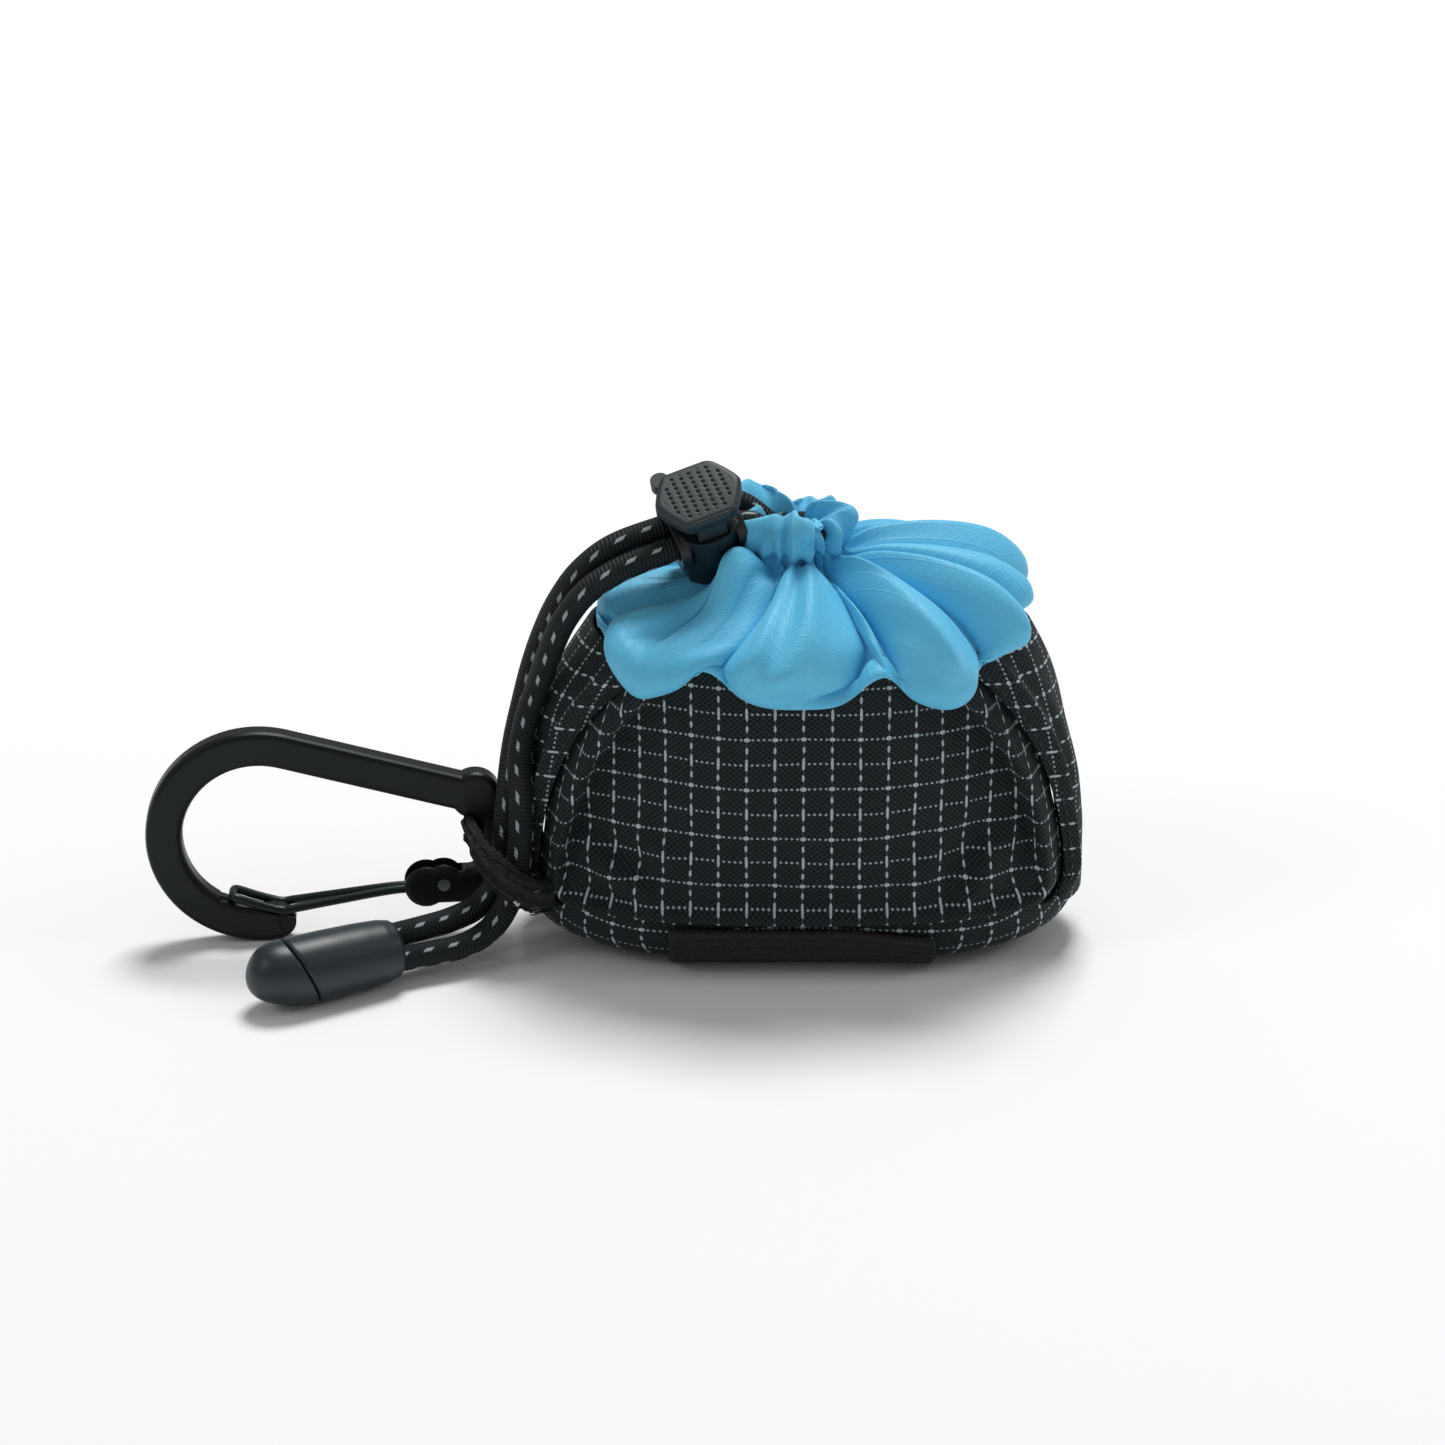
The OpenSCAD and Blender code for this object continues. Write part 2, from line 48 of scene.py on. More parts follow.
# ---- camera -------------------------------------------------------------------
# A fairly long lens looks down on the front of the pouch from a little
# over half a metre away, aimed between the pouch and its carabiner.

CAMERA_PITCH = np.radians(22)
CAMERA_DISTANCE = 600 * MM
CAMERA_AIM = np.array([-12.5, 0, 35.5]) * MM

camera_data = bpy.data.cameras.new("camera")
camera_data.sensor_width = 36
camera_data.lens = 94.2
camera = bpy.data.objects.new("camera", camera_data)
camera.location = CAMERA_AIM + CAMERA_DISTANCE * np.array([0, -np.cos(CAMERA_PITCH), np.sin(CAMERA_PITCH)])
camera.rotation_euler = (np.pi / 2 - CAMERA_PITCH, 0, 0)
bpy.context.scene.collection.objects.link(camera)
bpy.context.scene.camera = camera

# ---- elastic cord strands --------------------------------------------------------
# Two strands of 4 mm elastic drawcord: a rubber core in a braided black polyester
# sleeve with light reflective tracers. They leave the lock, follow the left gusset,
# pass through the corner tab and end in the cord end.

CORD_D = 4.0
STRAND_ASIDE = [-0.5, 0.86, 0]
LOCK_AT = np.array([-15.5, -2.5, 69.4])
LOCK_TURN = np.radians([30, -16, 16])
LOCK_HALF_L = 5.5
STRAND_GAP = 4.6


def linear_colour(hex_code):
    """sRGB hex to linear RGBA."""
    parts = np.array([int(hex_code[i:i + 2], 16) for i in (1, 3, 5)]) / 255
    linear = np.where(parts <= 0.04045, parts / 12.92, ((parts + 0.055) / 1.055) ** 2.4)
    return (*linear.tolist(), 1.0)


def node(tree, kind, inputs=None, **settings):
    """Adds one shader node, with its settings, and its inputs as values or as links. A
    node given as an input is linked by its first output."""
    made = tree.nodes.new("ShaderNode" + kind)
    for name, value in settings.items():
        setattr(made, name, value)
    for socket, value in (inputs or {}).items():
        if isinstance(value, bpy.types.Node):
            value = value.outputs[0]
        if isinstance(value, bpy.types.NodeSocket):
            tree.links.new(value, made.inputs[socket])
        else:
            made.inputs[socket].default_value = value
    return made


def new_material(name):
    """An empty material: its node tree and its Principled shader."""
    material = bpy.data.materials.new(name)
    material.use_nodes = True
    return material, material.node_tree, material.node_tree.nodes["Principled BSDF"]


def set_ramp(ramp_node, stops):
    """Gives a colour ramp its (position, grey value) stops."""
    ramp = ramp_node.color_ramp
    while len(ramp.elements) < len(stops):
        ramp.elements.new(0.5)
    for element, (position, grey) in zip(ramp.elements, stops):
        element.position = position
        element.color = (grey, grey, grey, 1)


def grid_piece(name, points, uv, material, around=False, ends=False):
    """Joins a rows-by-columns array of points (mm) into quads that face the side where
    columns run right and rows run up. around joins the last column to the first, and
    ends closes the first and last rows. uv (mm) has one more column when around."""
    rows, columns = points.shape[:2]
    place = np.arange(rows * columns).reshape(rows, columns)
    if around:
        place = np.hstack([place, place[:, :1]])
    corner = np.arange(uv.shape[0] * uv.shape[1]).reshape(uv.shape[:2])
    quads, corners = [
        np.stack([a[:-1, :-1], a[:-1, 1:], a[1:, 1:], a[1:, :-1]], axis=-1).reshape(-1, 4)
        for a in (place, corner)]
    faces = quads.tolist()
    if ends:
        faces += [place[0, :columns][::-1].tolist(), place[-1, :columns].tolist()]
    mesh = bpy.data.meshes.new(name)
    mesh.from_pydata((points.reshape(-1, 3) * MM).tolist(), [], faces)
    layer = mesh.uv_layers.new(name="cloth")
    flat = np.zeros((len(mesh.loops), 2), np.float32)
    flat[:corners.size] = (uv.reshape(-1, 2) * MM)[corners.reshape(-1)]
    layer.data.foreach_set("uv", flat.ravel())
    mesh.polygons.foreach_set("use_smooth", np.ones(len(mesh.polygons), bool))
    mesh.materials.append(material)
    mesh.validate()
    piece = bpy.data.objects.new(name, mesh)
    bpy.context.scene.collection.objects.link(piece)
    return piece


def smooth_route(points, step):
    """A Catmull-Rom curve through the points (mm), resampled at an even step."""
    p = np.array(points, float)
    p = np.vstack([2 * p[0] - p[1], p, 2 * p[-1] - p[-2]])
    t = np.linspace(0, 1, 24, endpoint=False)[None, :, None]
    a, b, c, d = (p[i:len(p) - 3 + i, None, :] for i in range(4))
    curve = 0.5 * (2 * b + (c - a) * t + (2 * a - 5 * b + 4 * c - d) * t ** 2
                   + (3 * b - a - 3 * c + d) * t ** 3)
    curve = np.vstack([curve.reshape(-1, 3), p[-2]])
    along = np.concatenate([[0], np.cumsum(np.linalg.norm(np.diff(curve, axis=0), axis=1))])
    count = int(round(along[-1] / step)) + 1
    even = np.linspace(0, along[-1], count)
    return np.stack([np.interp(even, along, curve[:, k]) for k in range(3)], axis=1), along[-1]


def sweep(line, profile, aside):
    """Carries a closed profile (across, up) along a line. Up is square to the line and
    to the aside direction."""
    tangent = np.gradient(line, axis=0)
    tangent /= np.linalg.norm(tangent, axis=1, keepdims=True)
    up = np.cross(tangent, np.array(aside, float))
    up /= np.linalg.norm(up, axis=1, keepdims=True)
    across = np.cross(up, tangent)
    profile = np.broadcast_to(profile, (len(line), *profile.shape[-2:]))
    return line[:, None, :] + across[:, None, :] * profile[:, :, :1] + up[:, None, :] * profile[:, :, 1:]


def circle(radius, sides):
    """Points round a circle, anticlockwise."""
    angle = np.linspace(0, 2 * np.pi, sides, endpoint=False)
    return radius * np.stack([np.cos(angle), np.sin(angle)], axis=1)


def tube_piece(name, line, diameter, aside, material, sides=20):
    """A round tube along a line (mm), with uv of millimetres along and around it."""
    points = sweep(line, circle(diameter / 2, sides), aside)
    along = np.concatenate([[0], np.cumsum(np.linalg.norm(np.diff(line, axis=0), axis=1))])
    around = np.linspace(0, np.pi * diameter, sides + 1)
    uv = np.stack(np.broadcast_arrays(along[:, None], around[None, :]), axis=-1)
    return grid_piece(name, points, uv, material, around=True, ends=True)


def braided_elastic():
    """Braided polyester sleeve: fine cross ribs over a rubber core, with a short
    reflective tracer stitch about every 4 mm, in four rows round it."""
    material, tree, shader = new_material("braided_elastic")
    uv = node(tree, "UVMap", uv_map="cloth")
    split = node(tree, "SeparateXYZ", {0: uv})
    along, around = split.outputs[0], split.outputs[1]
    rib = node(tree, "Math", {0: along, 1: 2 * np.pi / (0.62 * MM)}, operation="MULTIPLY")
    slant = node(tree, "Math", {0: around, 1: 1100.0}, operation="MULTIPLY")
    phase = node(tree, "Math", {0: rib, 1: slant}, operation="ADD")
    wave = node(tree, "Math", {0: phase}, operation="SINE")
    # the tracers: short slanted dashes, four rows round the cord
    row = node(tree, "Math", {0: around, 1: 4 / (np.pi * CORD_D * MM)}, operation="MULTIPLY")
    row_no = node(tree, "Math", {0: row}, operation="FLOOR")
    shift = node(tree, "Math", {0: row_no, 1: 0.5}, operation="MULTIPLY")
    place = node(tree, "Math", {0: along, 1: 1 / (4.2 * MM), 2: shift},
                 operation="MULTIPLY_ADD")
    lean = node(tree, "Math", {0: row, 1: 0.9, 2: place},
                operation="MULTIPLY_ADD")
    near = node(tree, "Math", {0: lean, 1: 0.5}, operation="PINGPONG")
    dash = node(tree, "MapRange",
                {0: near, 1: 0.16, 2: 0.19, 3: 1.0, 4: 0.0})
    middle = node(tree, "Math", {0: row, 1: 0.5}, operation="PINGPONG")
    band = node(tree, "MapRange",
                {0: middle, 1: 0.39, 2: 0.43, 3: 0.0, 4: 1.0})
    tracer = node(tree, "Math", {0: dash, 1: band}, operation="MULTIPLY")
    sleeve = node(tree, "MapRange", {0: wave, 1: -1.0, 2: 1.0, 3: 0.35, 4: 1.0})
    dark = node(tree, "Mix",
                {0: sleeve, 6: linear_colour("#060809"), 7: linear_colour("#1c2325")},
                data_type="RGBA")
    colour = node(tree, "Mix",
                  {0: tracer, 6: dark.outputs[2], 7: linear_colour("#a3abad")},
                  data_type="RGBA")
    height = node(tree, "Math", {0: tracer, 1: 1.2, 2: wave},
                  operation="MULTIPLY_ADD")
    bump = node(tree, "Bump", {"Height": height, "Strength": 0.7,
                                         "Distance": 0.12 * MM})
    tree.links.new(colour.outputs[2], shader.inputs["Base Color"])
    tree.links.new(bump.outputs[0], shader.inputs["Normal"])
    shader.inputs["Roughness"].default_value = 0.62
    shader.inputs["Specular IOR Level"].default_value = 0.25
    return material


def lock_point(p):
    """Turns a point (mm) given in the lock's own directions into the pouch's."""
    x, y, z = p
    ax, ay, az = LOCK_TURN
    y, z = y * np.cos(ax) - z * np.sin(ax), y * np.sin(ax) + z * np.cos(ax)
    x, z = x * np.cos(ay) + z * np.sin(ay), z * np.cos(ay) - x * np.sin(ay)
    x, y = x * np.cos(az) - y * np.sin(az), x * np.sin(az) + y * np.cos(az)
    return (LOCK_AT + [x, y, z]).tolist()


back_route = [
    lock_point([-LOCK_HALF_L, STRAND_GAP / 2, 0]), lock_point([-14, STRAND_GAP / 2, 0]),
    [-34.5, -4.5, 62.5], [-38, -3, 57], [-40.3, -1, 51.5], [-42.3, 0, 45.5],
    [-44, 0, 39], [-45.5, -1.8, 32.5], [-46.3, -5.2, 26.5], [-46.9, -6.6, 21],
    [-47.3, -6.9, 15.5], [-48.6, -8.2, 11], [-51.5, -10.5, 8.2], [-55.5, -13.2, 7.2],
    [-59.8, -15.9, 7], [-64.5, -18.6, 6.9], [-70.9, -22.3, 6.9]]
front_route = [
    lock_point([-LOCK_HALF_L, -STRAND_GAP / 2, 0]), lock_point([-14, -STRAND_GAP / 2, 0]),
    [-33.2, -9, 61], [-37, -8.2, 55.8], [-39.4, -6.9, 50], [-41.3, -5.4, 44],
    [-43.3, -5, 38], [-44.4, -6.2, 32], [-44.2, -9.3, 26], [-44.3, -10.7, 20.5],
    [-44.9, -11.4, 15], [-46.3, -12.6, 10], [-49, -14.6, 6.4], [-53, -17, 4.6],
    [-58, -19.1, 4.2], [-62.9, -21.4, 4.2], [-69.3, -25.1, 4.2]]

cord_material = braided_elastic()
for name, route in (("cord_strand_back", back_route), ("cord_strand_front", front_route)):
    line, length = smooth_route(route, 0.5)
    strand = tube_piece(name + "_braid", line, CORD_D, STRAND_ASIDE, cord_material)
    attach(strand, "pouch")
    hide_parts(name)

# ---- pouch panels ---------------------------------------------------------------
# A front and a back panel, two gussets and a base, cut from black polyester
# gridstop laminated to a thin foam, sewn inside out and turned. The seam allowance
# pushes up a rim inside the front panel, and the seams sit in a groove.

SEAM_W = 83.0
SEAM_Z = 8.0
MOUTH_Z = 52.0
CORNER_R = 6.0
POUCH_W = 90.0
POUCH_D = 40.0
PANEL_T = 0.9


def arch(t):
    """Height of a unit half circle over t."""
    return np.sqrt(np.maximum(0, 1 - t * t))


def seam_x(z):
    """Half width of the front seam at a height: half an ellipse with rounded corners."""
    corner = CORNER_R * (1 - arch(np.maximum(0, (SEAM_Z + CORNER_R - z) / CORNER_R)))
    return SEAM_W / 2 * arch(np.maximum(0, (z - 11) / 49)) - corner


def flank_x(z):
    """Half width midway between the seams."""
    return POUCH_W / 2 * arch(np.maximum(0, (z - 11) / 70))


def seam_y(x, z):
    """Half depth of the pouch at a seam: pinched towards its ends and leaning back."""
    return POUCH_D / 2 - 10 * (np.abs(x) * 2 / SEAM_W) ** 3 - 2.5 * (z - SEAM_Z) / (MOUTH_Z - SEAM_Z)


def smooth_step(value, low, high):
    """0 below low, 1 above high, and an even curve between them."""
    t = np.clip((value - low) / (high - low), 0, 1)
    return t * t * (3 - 2 * t)


def hump(value, middle, width):
    """A soft hump of height 1 about the middle."""
    return np.exp(-((value - middle) / width) ** 2)


def gridstop(name):
    """Black plain-weave polyester, 0.55 mm threads, with a light reflective yarn woven
    in every 4.4 mm across and 4 mm up. Upright yarns show as long and short floats,
    level yarns as fine dots."""
    material, tree, shader = new_material(name)
    uv = node(tree, "UVMap", uv_map="cloth")
    # a slow wobble keeps the yarns from running ruler straight
    noise = node(tree, "TexNoise", {"Vector": uv, "Scale": 110.0, "Detail": 1.0})
    wobble = node(tree, "VectorMath", {0: noise.outputs["Color"], 1: (0.5, 0.5, 0.5)},
                  operation="SUBTRACT")
    moved = node(tree, "VectorMath",
                 {0: wobble, 1: (0.45 * MM, 0.45 * MM, 0), 2: uv},
                 operation="MULTIPLY_ADD")
    cells = node(tree, "VectorMath", {0: moved, 1: (1 / (4.4 * MM), 1 / (4.0 * MM), 0)},
                 operation="MULTIPLY")
    split = node(tree, "SeparateXYZ", {0: cells})
    u, v = split.outputs[0], split.outputs[1]
    # upright yarn: a cross at every second crossing, then a short, a long and a short float
    from_upright = node(tree, "Math", {0: u, 1: 0.5}, operation="PINGPONG")
    pair = node(tree, "Math", {0: v, 1: 0.5}, operation="MULTIPLY")
    in_pair = node(tree, "Math", {0: pair, 1: 0.5}, operation="PINGPONG")
    float_w = node(tree, "ValToRGB", {0: in_pair})
    set_ramp(float_w, [(0.0, 0.11), (0.028, 0.095), (0.045, 0.0), (0.145, 0.0), (0.17, 0.042),
                       (0.22, 0.05), (0.265, 0.042), (0.29, 0.0), (0.37, 0.0), (0.395, 0.044), (0.5, 0.052)])
    upright_gap = node(tree, "Math", {0: from_upright, 1: float_w},
                       operation="SUBTRACT")
    upright = node(tree, "MapRange", {0: upright_gap, 1: -0.012, 2: 0.01, 3: 1.0, 4: 0.0})
    # level yarn: five dots to a cell
    from_level = node(tree, "Math", {0: v, 1: 0.5}, operation="PINGPONG")
    dots = node(tree, "Math", {0: u, 1: 5.0}, operation="MULTIPLY")
    in_dot = node(tree, "Math", {0: dots, 1: 0.5}, operation="PINGPONG")
    dot_w = node(tree, "ValToRGB", {0: in_dot})
    set_ramp(dot_w, [(0.0, 0.05), (0.16, 0.042), (0.27, 0.0), (0.5, 0.0)])
    level_gap = node(tree, "Math", {0: from_level, 1: dot_w},
                     operation="SUBTRACT")
    level = node(tree, "MapRange", {0: level_gap, 1: -0.014, 2: 0.006, 3: 0.85, 4: 0.0})
    yarn = node(tree, "Math", {0: upright, 1: level}, operation="MAXIMUM")
    # the ground weave: threads over and under each other, alternate rows set off by half
    threads = node(tree, "VectorMath", {0: moved, 1: (np.pi / (0.5 * MM), np.pi / (0.42 * MM), 0)},
                   operation="MULTIPLY")
    thread = node(tree, "SeparateXYZ", {0: threads})
    warp = node(tree, "Math", {0: thread}, operation="SINE")
    weft = node(tree, "Math", {0: thread.outputs[1]}, operation="SINE")
    over = node(tree, "Math", {0: warp, 1: weft}, operation="MULTIPLY")
    weave = node(tree, "MapRange", {0: over, 1: -0.9, 2: 0.9})
    ground = node(tree, "Mix",
                  {0: weave, 6: linear_colour("#020304"), 7: linear_colour("#273234")},
                  data_type="RGBA")
    colour = node(tree, "Mix",
                  {0: yarn, 6: ground.outputs[2], 7: linear_colour("#b4bfc3")},
                  data_type="RGBA")
    height = node(tree, "Math", {0: yarn, 1: 0.8, 2: weave},
                  operation="MULTIPLY_ADD")
    bump = node(tree, "Bump", {"Height": height, "Strength": 0.8, "Distance": 0.16 * MM})
    tree.links.new(colour.outputs[2], shader.inputs["Base Color"])
    tree.links.new(bump.outputs[0], shader.inputs["Normal"])
    shader.inputs["Roughness"].default_value = 0.75
    shader.inputs["Specular IOR Level"].default_value = 0.22
    shader.inputs["Sheen Weight"].default_value = 0.03
    return material


def add_wall(piece, thickness, offset=-1.0):
    """Gives a sheet its thickness, inwards from its outer face."""
    wall = piece.modifiers.new("wall", "SOLIDIFY")
    wall.thickness = thickness * MM
    wall.offset = offset
    wall.use_even_offset = False


# the seam's outline as seen from the front, from the left mouth corner round the base
# to the right one
outline_z = np.concatenate([np.linspace(MOUTH_Z, SEAM_Z + CORNER_R, 60),
                            SEAM_Z + CORNER_R * (1 - np.sin(np.linspace(0, np.pi / 2, 20)))])
half_outline = np.stack([seam_x(outline_z), outline_z], axis=1)
foot = np.stack([np.linspace(-seam_x(SEAM_Z), seam_x(SEAM_Z), 80), np.full(80, SEAM_Z)], axis=1)
seam_outline = np.vstack([half_outline * [-1, 1], foot, half_outline[::-1]])


def from_seam(x, z):
    """Distance of each point from the seam, in the plane of the panel."""
    steps = np.hypot(x[..., None] - seam_outline[:, 0], z[..., None] - seam_outline[:, 1])
    return steps.min(axis=-1)


def panel_relief(x, z, distance):
    """How far the panel stands in from its seam line: a groove at the seam, a rim over
    the seam allowance, a step down to a flatter middle, and wrinkles at the corners."""
    groove = 2.8 * np.exp(-(distance / 1.1) ** 2)
    side = smooth_step(np.abs(x), 8, 30) * smooth_step(z, 13, 24)
    step = (0.4 + 3.0 * side) * smooth_step(distance, 3.2, 5.0)
    crown = -1.5 * hump(distance, 2.4, 1.2)
    middle = -0.9 * hump(x, 0, 26) * hump(z, 22, 16) * smooth_step(distance, 4, 12)
    left = hump(x, -29, 9) * hump(z, 16, 7)
    right = hump(x, 27, 8) * hump(z, 17, 8)
    wrinkle = (1.4 * left * np.sin((0.75 * x + 1.15 * z) * 0.55 + 0.6)
               + 1.2 * right * np.sin((1.1 * x - 0.7 * z) * 0.5 + 0.9)
               + 0.35 * hump(z, 13, 6) * np.sin(0.42 * x + 0.9) * np.sin(0.2 * x))
    soft = 0.25 * np.sin(0.21 * x + 0.5) * np.sin(0.19 * z + 1.0)
    return groove + step + crown + middle - 0.3 + (wrinkle + soft) * smooth_step(distance, 1.5, 5)


def face_panel(name, material, turned):
    """Rows up the panel and columns across it; two more rings of points at each side
    and at the foot turn in to the seam allowance."""
    share = np.sin(np.linspace(-np.pi / 2, np.pi / 2, 241))[None, :]
    z = (SEAM_Z + (MOUTH_Z - SEAM_Z) * np.linspace(0, 1, 151)[:, None] ** 1.3)
    x = seam_x(z) * share
    z = np.broadcast_to(z, x.shape)
    y = -seam_y(x, z) + panel_relief(x, z, from_seam(x, z))
    points = np.stack([x, y, z], axis=-1)
    inward = [0, 2.2, 0]
    points = np.concatenate([points[:1] + inward, points], axis=0)
    points = np.concatenate([points[:, :1] + inward, points, points[:, -1:] + inward], axis=1)
    run = np.linalg.norm(np.diff(points * [1, 1, 0], axis=1), axis=2)
    across = np.concatenate([np.zeros((len(run), 1)), np.cumsum(run, axis=1)], axis=1)
    across -= across[:, across.shape[1] // 2, None]
    uv = np.stack([across, points[..., 2]], axis=-1)
    if turned:
        points = points * [-1, -1, 1]
    return grid_piece(name, points, uv, material)


def gusset_panel(name, material, turned, top_lean):
    """Rows follow the flank upwards and columns run from the front seam to the back:
    the cloth bulges between the seams, rolls over beside each and tucks into them."""
    low, high = SEAM_Z + 0.6, 53.0
    z = (low + (high - low) * np.linspace(0, 1, 141)[:, None] ** 1.3)
    q = np.sin(np.linspace(-np.pi / 2, np.pi / 2, 121))[None, :]
    bulge = np.maximum(0, 1 - q * q) ** 0.6
    edge_x = seam_x(np.minimum(z, MOUTH_Z)) - 3.0 * smooth_step(z, MOUTH_Z, high + 3)
    edge_y = seam_y(seam_x(z), z)
    from_edge = edge_y * (1 - np.abs(q))
    x = edge_x + 0.25 + (flank_x(z) - edge_x) * bulge
    y = q * (edge_y - 0.9)
    roll = 1.15 * hump(from_edge, 1.5, 1.1) * smooth_step(z, low, low + 6)
    dent = 0.8 * hump(from_edge, 4.4, 1.5) * smooth_step(z, 14, 24)
    soft = 0.4 * np.sin(0.3 * z + 0.32 * y) * bulge * smooth_step(z, low, 16)
    fold = 0.5 * hump(z, 17, 5) * np.sin(0.5 * y + 0.8) * bulge
    x = x + roll - dent + soft * 0.6 + fold
    y = y + np.sign(q) * 0.35 * roll
    x = x - top_lean * smooth_step(z, 38, 57)
    points = np.stack([x, y, np.broadcast_to(z, x.shape)], axis=-1)
    tuck = np.array([-0.2, 2.0, 0])
    points = np.concatenate([points[:, :1] + tuck, points, points[:, -1:] + tuck * [1, -1, 1]], axis=1)
    rise = np.linalg.norm(np.diff(points[:, 61], axis=0), axis=1)
    up = np.concatenate([[0], np.cumsum(rise)])[:, None]
    run = np.linalg.norm(np.diff(points, axis=1), axis=2)
    across = np.concatenate([np.zeros((len(run), 1)), np.cumsum(run, axis=1)], axis=1)
    across -= across[:, across.shape[1] // 2, None]
    uv = np.stack(np.broadcast_arrays(up, across), axis=-1)
    if turned:
        points = points * [-1, -1, 1]
    return grid_piece(name, points, uv, material)


def base_panel(name, material):
    """Columns run round the foot and rows from the seam down over the rounded edge to
    the middle. Its uv unrolls the side outwards from the flat underside."""
    a = np.linspace(0, 2 * np.pi, 240, endpoint=False)
    half_w, half_d = flank_x(SEAM_Z) - 1.2, seam_y(0, SEAM_Z) - 0.4
    squareness = 2 / 3.6
    ring = np.stack([half_w * np.sign(np.cos(a)) * np.abs(np.cos(a)) ** squareness,
                     half_d * np.sign(np.sin(a)) * np.abs(np.sin(a)) ** squareness], axis=1)
    pinch = 1 - 0.27 * (np.abs(ring[:, 0]) / half_w) ** 5
    ring[:, 1] *= pinch
    t = np.linspace(0, 1, 40)
    size = np.concatenate([0.76 + 0.24 * np.sin(t[::-1] * np.pi / 2), np.linspace(0.74, 0.02, 24)])
    height = np.concatenate([1.7 + 8.2 * (1 - np.cos(t[::-1] * np.pi / 2)), np.full(24, 1.7)])
    points = np.concatenate([ring[None] * size[:, None, None],
                             np.broadcast_to(height[:, None, None], (len(size), len(a), 1))], axis=-1)
    side_rows = len(t)
    drop = np.linalg.norm(np.diff(points[:side_rows], axis=0), axis=2).cumsum(axis=0)
    reach = np.zeros((len(size), len(a)))
    reach[:side_rows] = np.vstack([np.zeros(len(a)), drop])
    reach[:side_rows] = reach[side_rows - 1] - reach[:side_rows]
    outward = ring / np.linalg.norm(ring / [half_w, half_d], axis=1, keepdims=True)
    outward = outward / [half_w ** 2, half_d ** 2]
    outward /= np.linalg.norm(outward, axis=1, keepdims=True)
    level = np.where(np.arange(len(size))[:, None, None] < side_rows, points[side_rows - 1][None, :, :2],
                     points[..., :2])
    uv = level + outward[None] * reach[..., None]
    uv = np.concatenate([uv, uv[:, :1]], axis=1)
    return grid_piece(name, points[::-1], uv[::-1], material, around=True)


gridstop_material = gridstop("gridstop_weave")
panels = {
    "front_panel": face_panel("front_panel_cloth", gridstop_material, turned=False),
    "back_panel": face_panel("back_panel_cloth", gridstop_material, turned=True),
    "gusset_left": gusset_panel("gusset_left_cloth", gridstop_material, turned=True, top_lean=3.0),
    "gusset_right": gusset_panel("gusset_right_cloth", gridstop_material, turned=False, top_lean=0.3),
    "base_panel": base_panel("base_panel_cloth", gridstop_material)}
for cad_name, panel in panels.items():
    add_wall(panel, PANEL_T)
    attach(panel, "pouch")
    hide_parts(cad_name)

# ---- collar ------------------------------------------------------------------
# A tube of sky-blue ripstop nylon sewn inside the mouth. It billows over the mouth,
# is gathered into the throat by the drawcord, and stands up as a frill above it.

COLLAR_X = 2.2
THROAT_X = -0.8


def round_the_collar(angles, values, at, blur):
    """Values given at a few angles (degrees), joined round the circle and smoothed by
    averaging over blur degrees on both sides."""
    offsets = np.linspace(-blur, blur, 21)
    weights = np.cos(offsets / blur * np.pi / 2)
    spread = np.interp(at[..., None] + offsets, angles, values, period=360)
    return (spread * weights).sum(axis=-1) / weights.sum()


# distance from the collar's middle and height, from where it is sewn in, under the
# billow, over it and up to the throat, in the four directions
side_profiles = {
    "right": [(30.5, 51.5), (31.4, 54.6), (32.0, 54.4), (32.6, 54.8), (33.2, 56.4), (32.2, 59.0),
              (27.5, 62.6), (20, 65.0), (12.5, 65.6), (7.4, 64.4), (6.6, 65.5)],
    "back": [(15.8, 50.5), (18.0, 53.2), (20.9, 50.8), (22.6, 49.8), (23.6, 51.4), (23.2, 54.6),
             (20.8, 59.4), (16, 63), (11.0, 64.8), (7.2, 64.2), (6.4, 65.0)],
    "left": [(31.6, 51.5), (32.8, 55.0), (32.6, 55.4), (32.7, 56.4), (32.6, 58.0), (31.6, 59.8),
             (28.0, 60.6), (22, 60.4), (15.5, 61.2), (9.4, 62.8), (8.0, 64.6)],
    "front": [(15.8, 50.5), (18.0, 53.0), (20.9, 48.6), (23.0, 46.9), (24.6, 48.5), (24.4, 51.6),
              (22.0, 56.2), (17, 60.2), (11.6, 63), (7.2, 63.6), (6.4, 65.0)]}
edge_share = np.array([0, 0.1, 0.85, 1, 1, 0.85, 0.5, 0.2, 0.05, 0, 0])
squareness_of_ring = np.array([2.6, 2.6, 2.7, 2.8, 2.8, 2.7, 2.5, 2.3, 2.1, 2, 2])
# height of the billow's lower edge round the collar
edge_angles = [0, 25, 45, 62, 80, 100, 118, 135, 155, 180, 198, 212, 223, 236, 247, 257, 269, 277, 284,
               291, 302, 314, 324, 341]
edge_heights = [56.8, 53.5, 49.4, 51.6, 48.8, 51.6, 49.2, 51.8, 52.6, 56.4, 54.0, 49.6, 46.8, 48.4, 51.2,
                48.6, 46.6, 47.4, 50.6, 48.2, 46.9, 48.2, 51.0, 54.6]

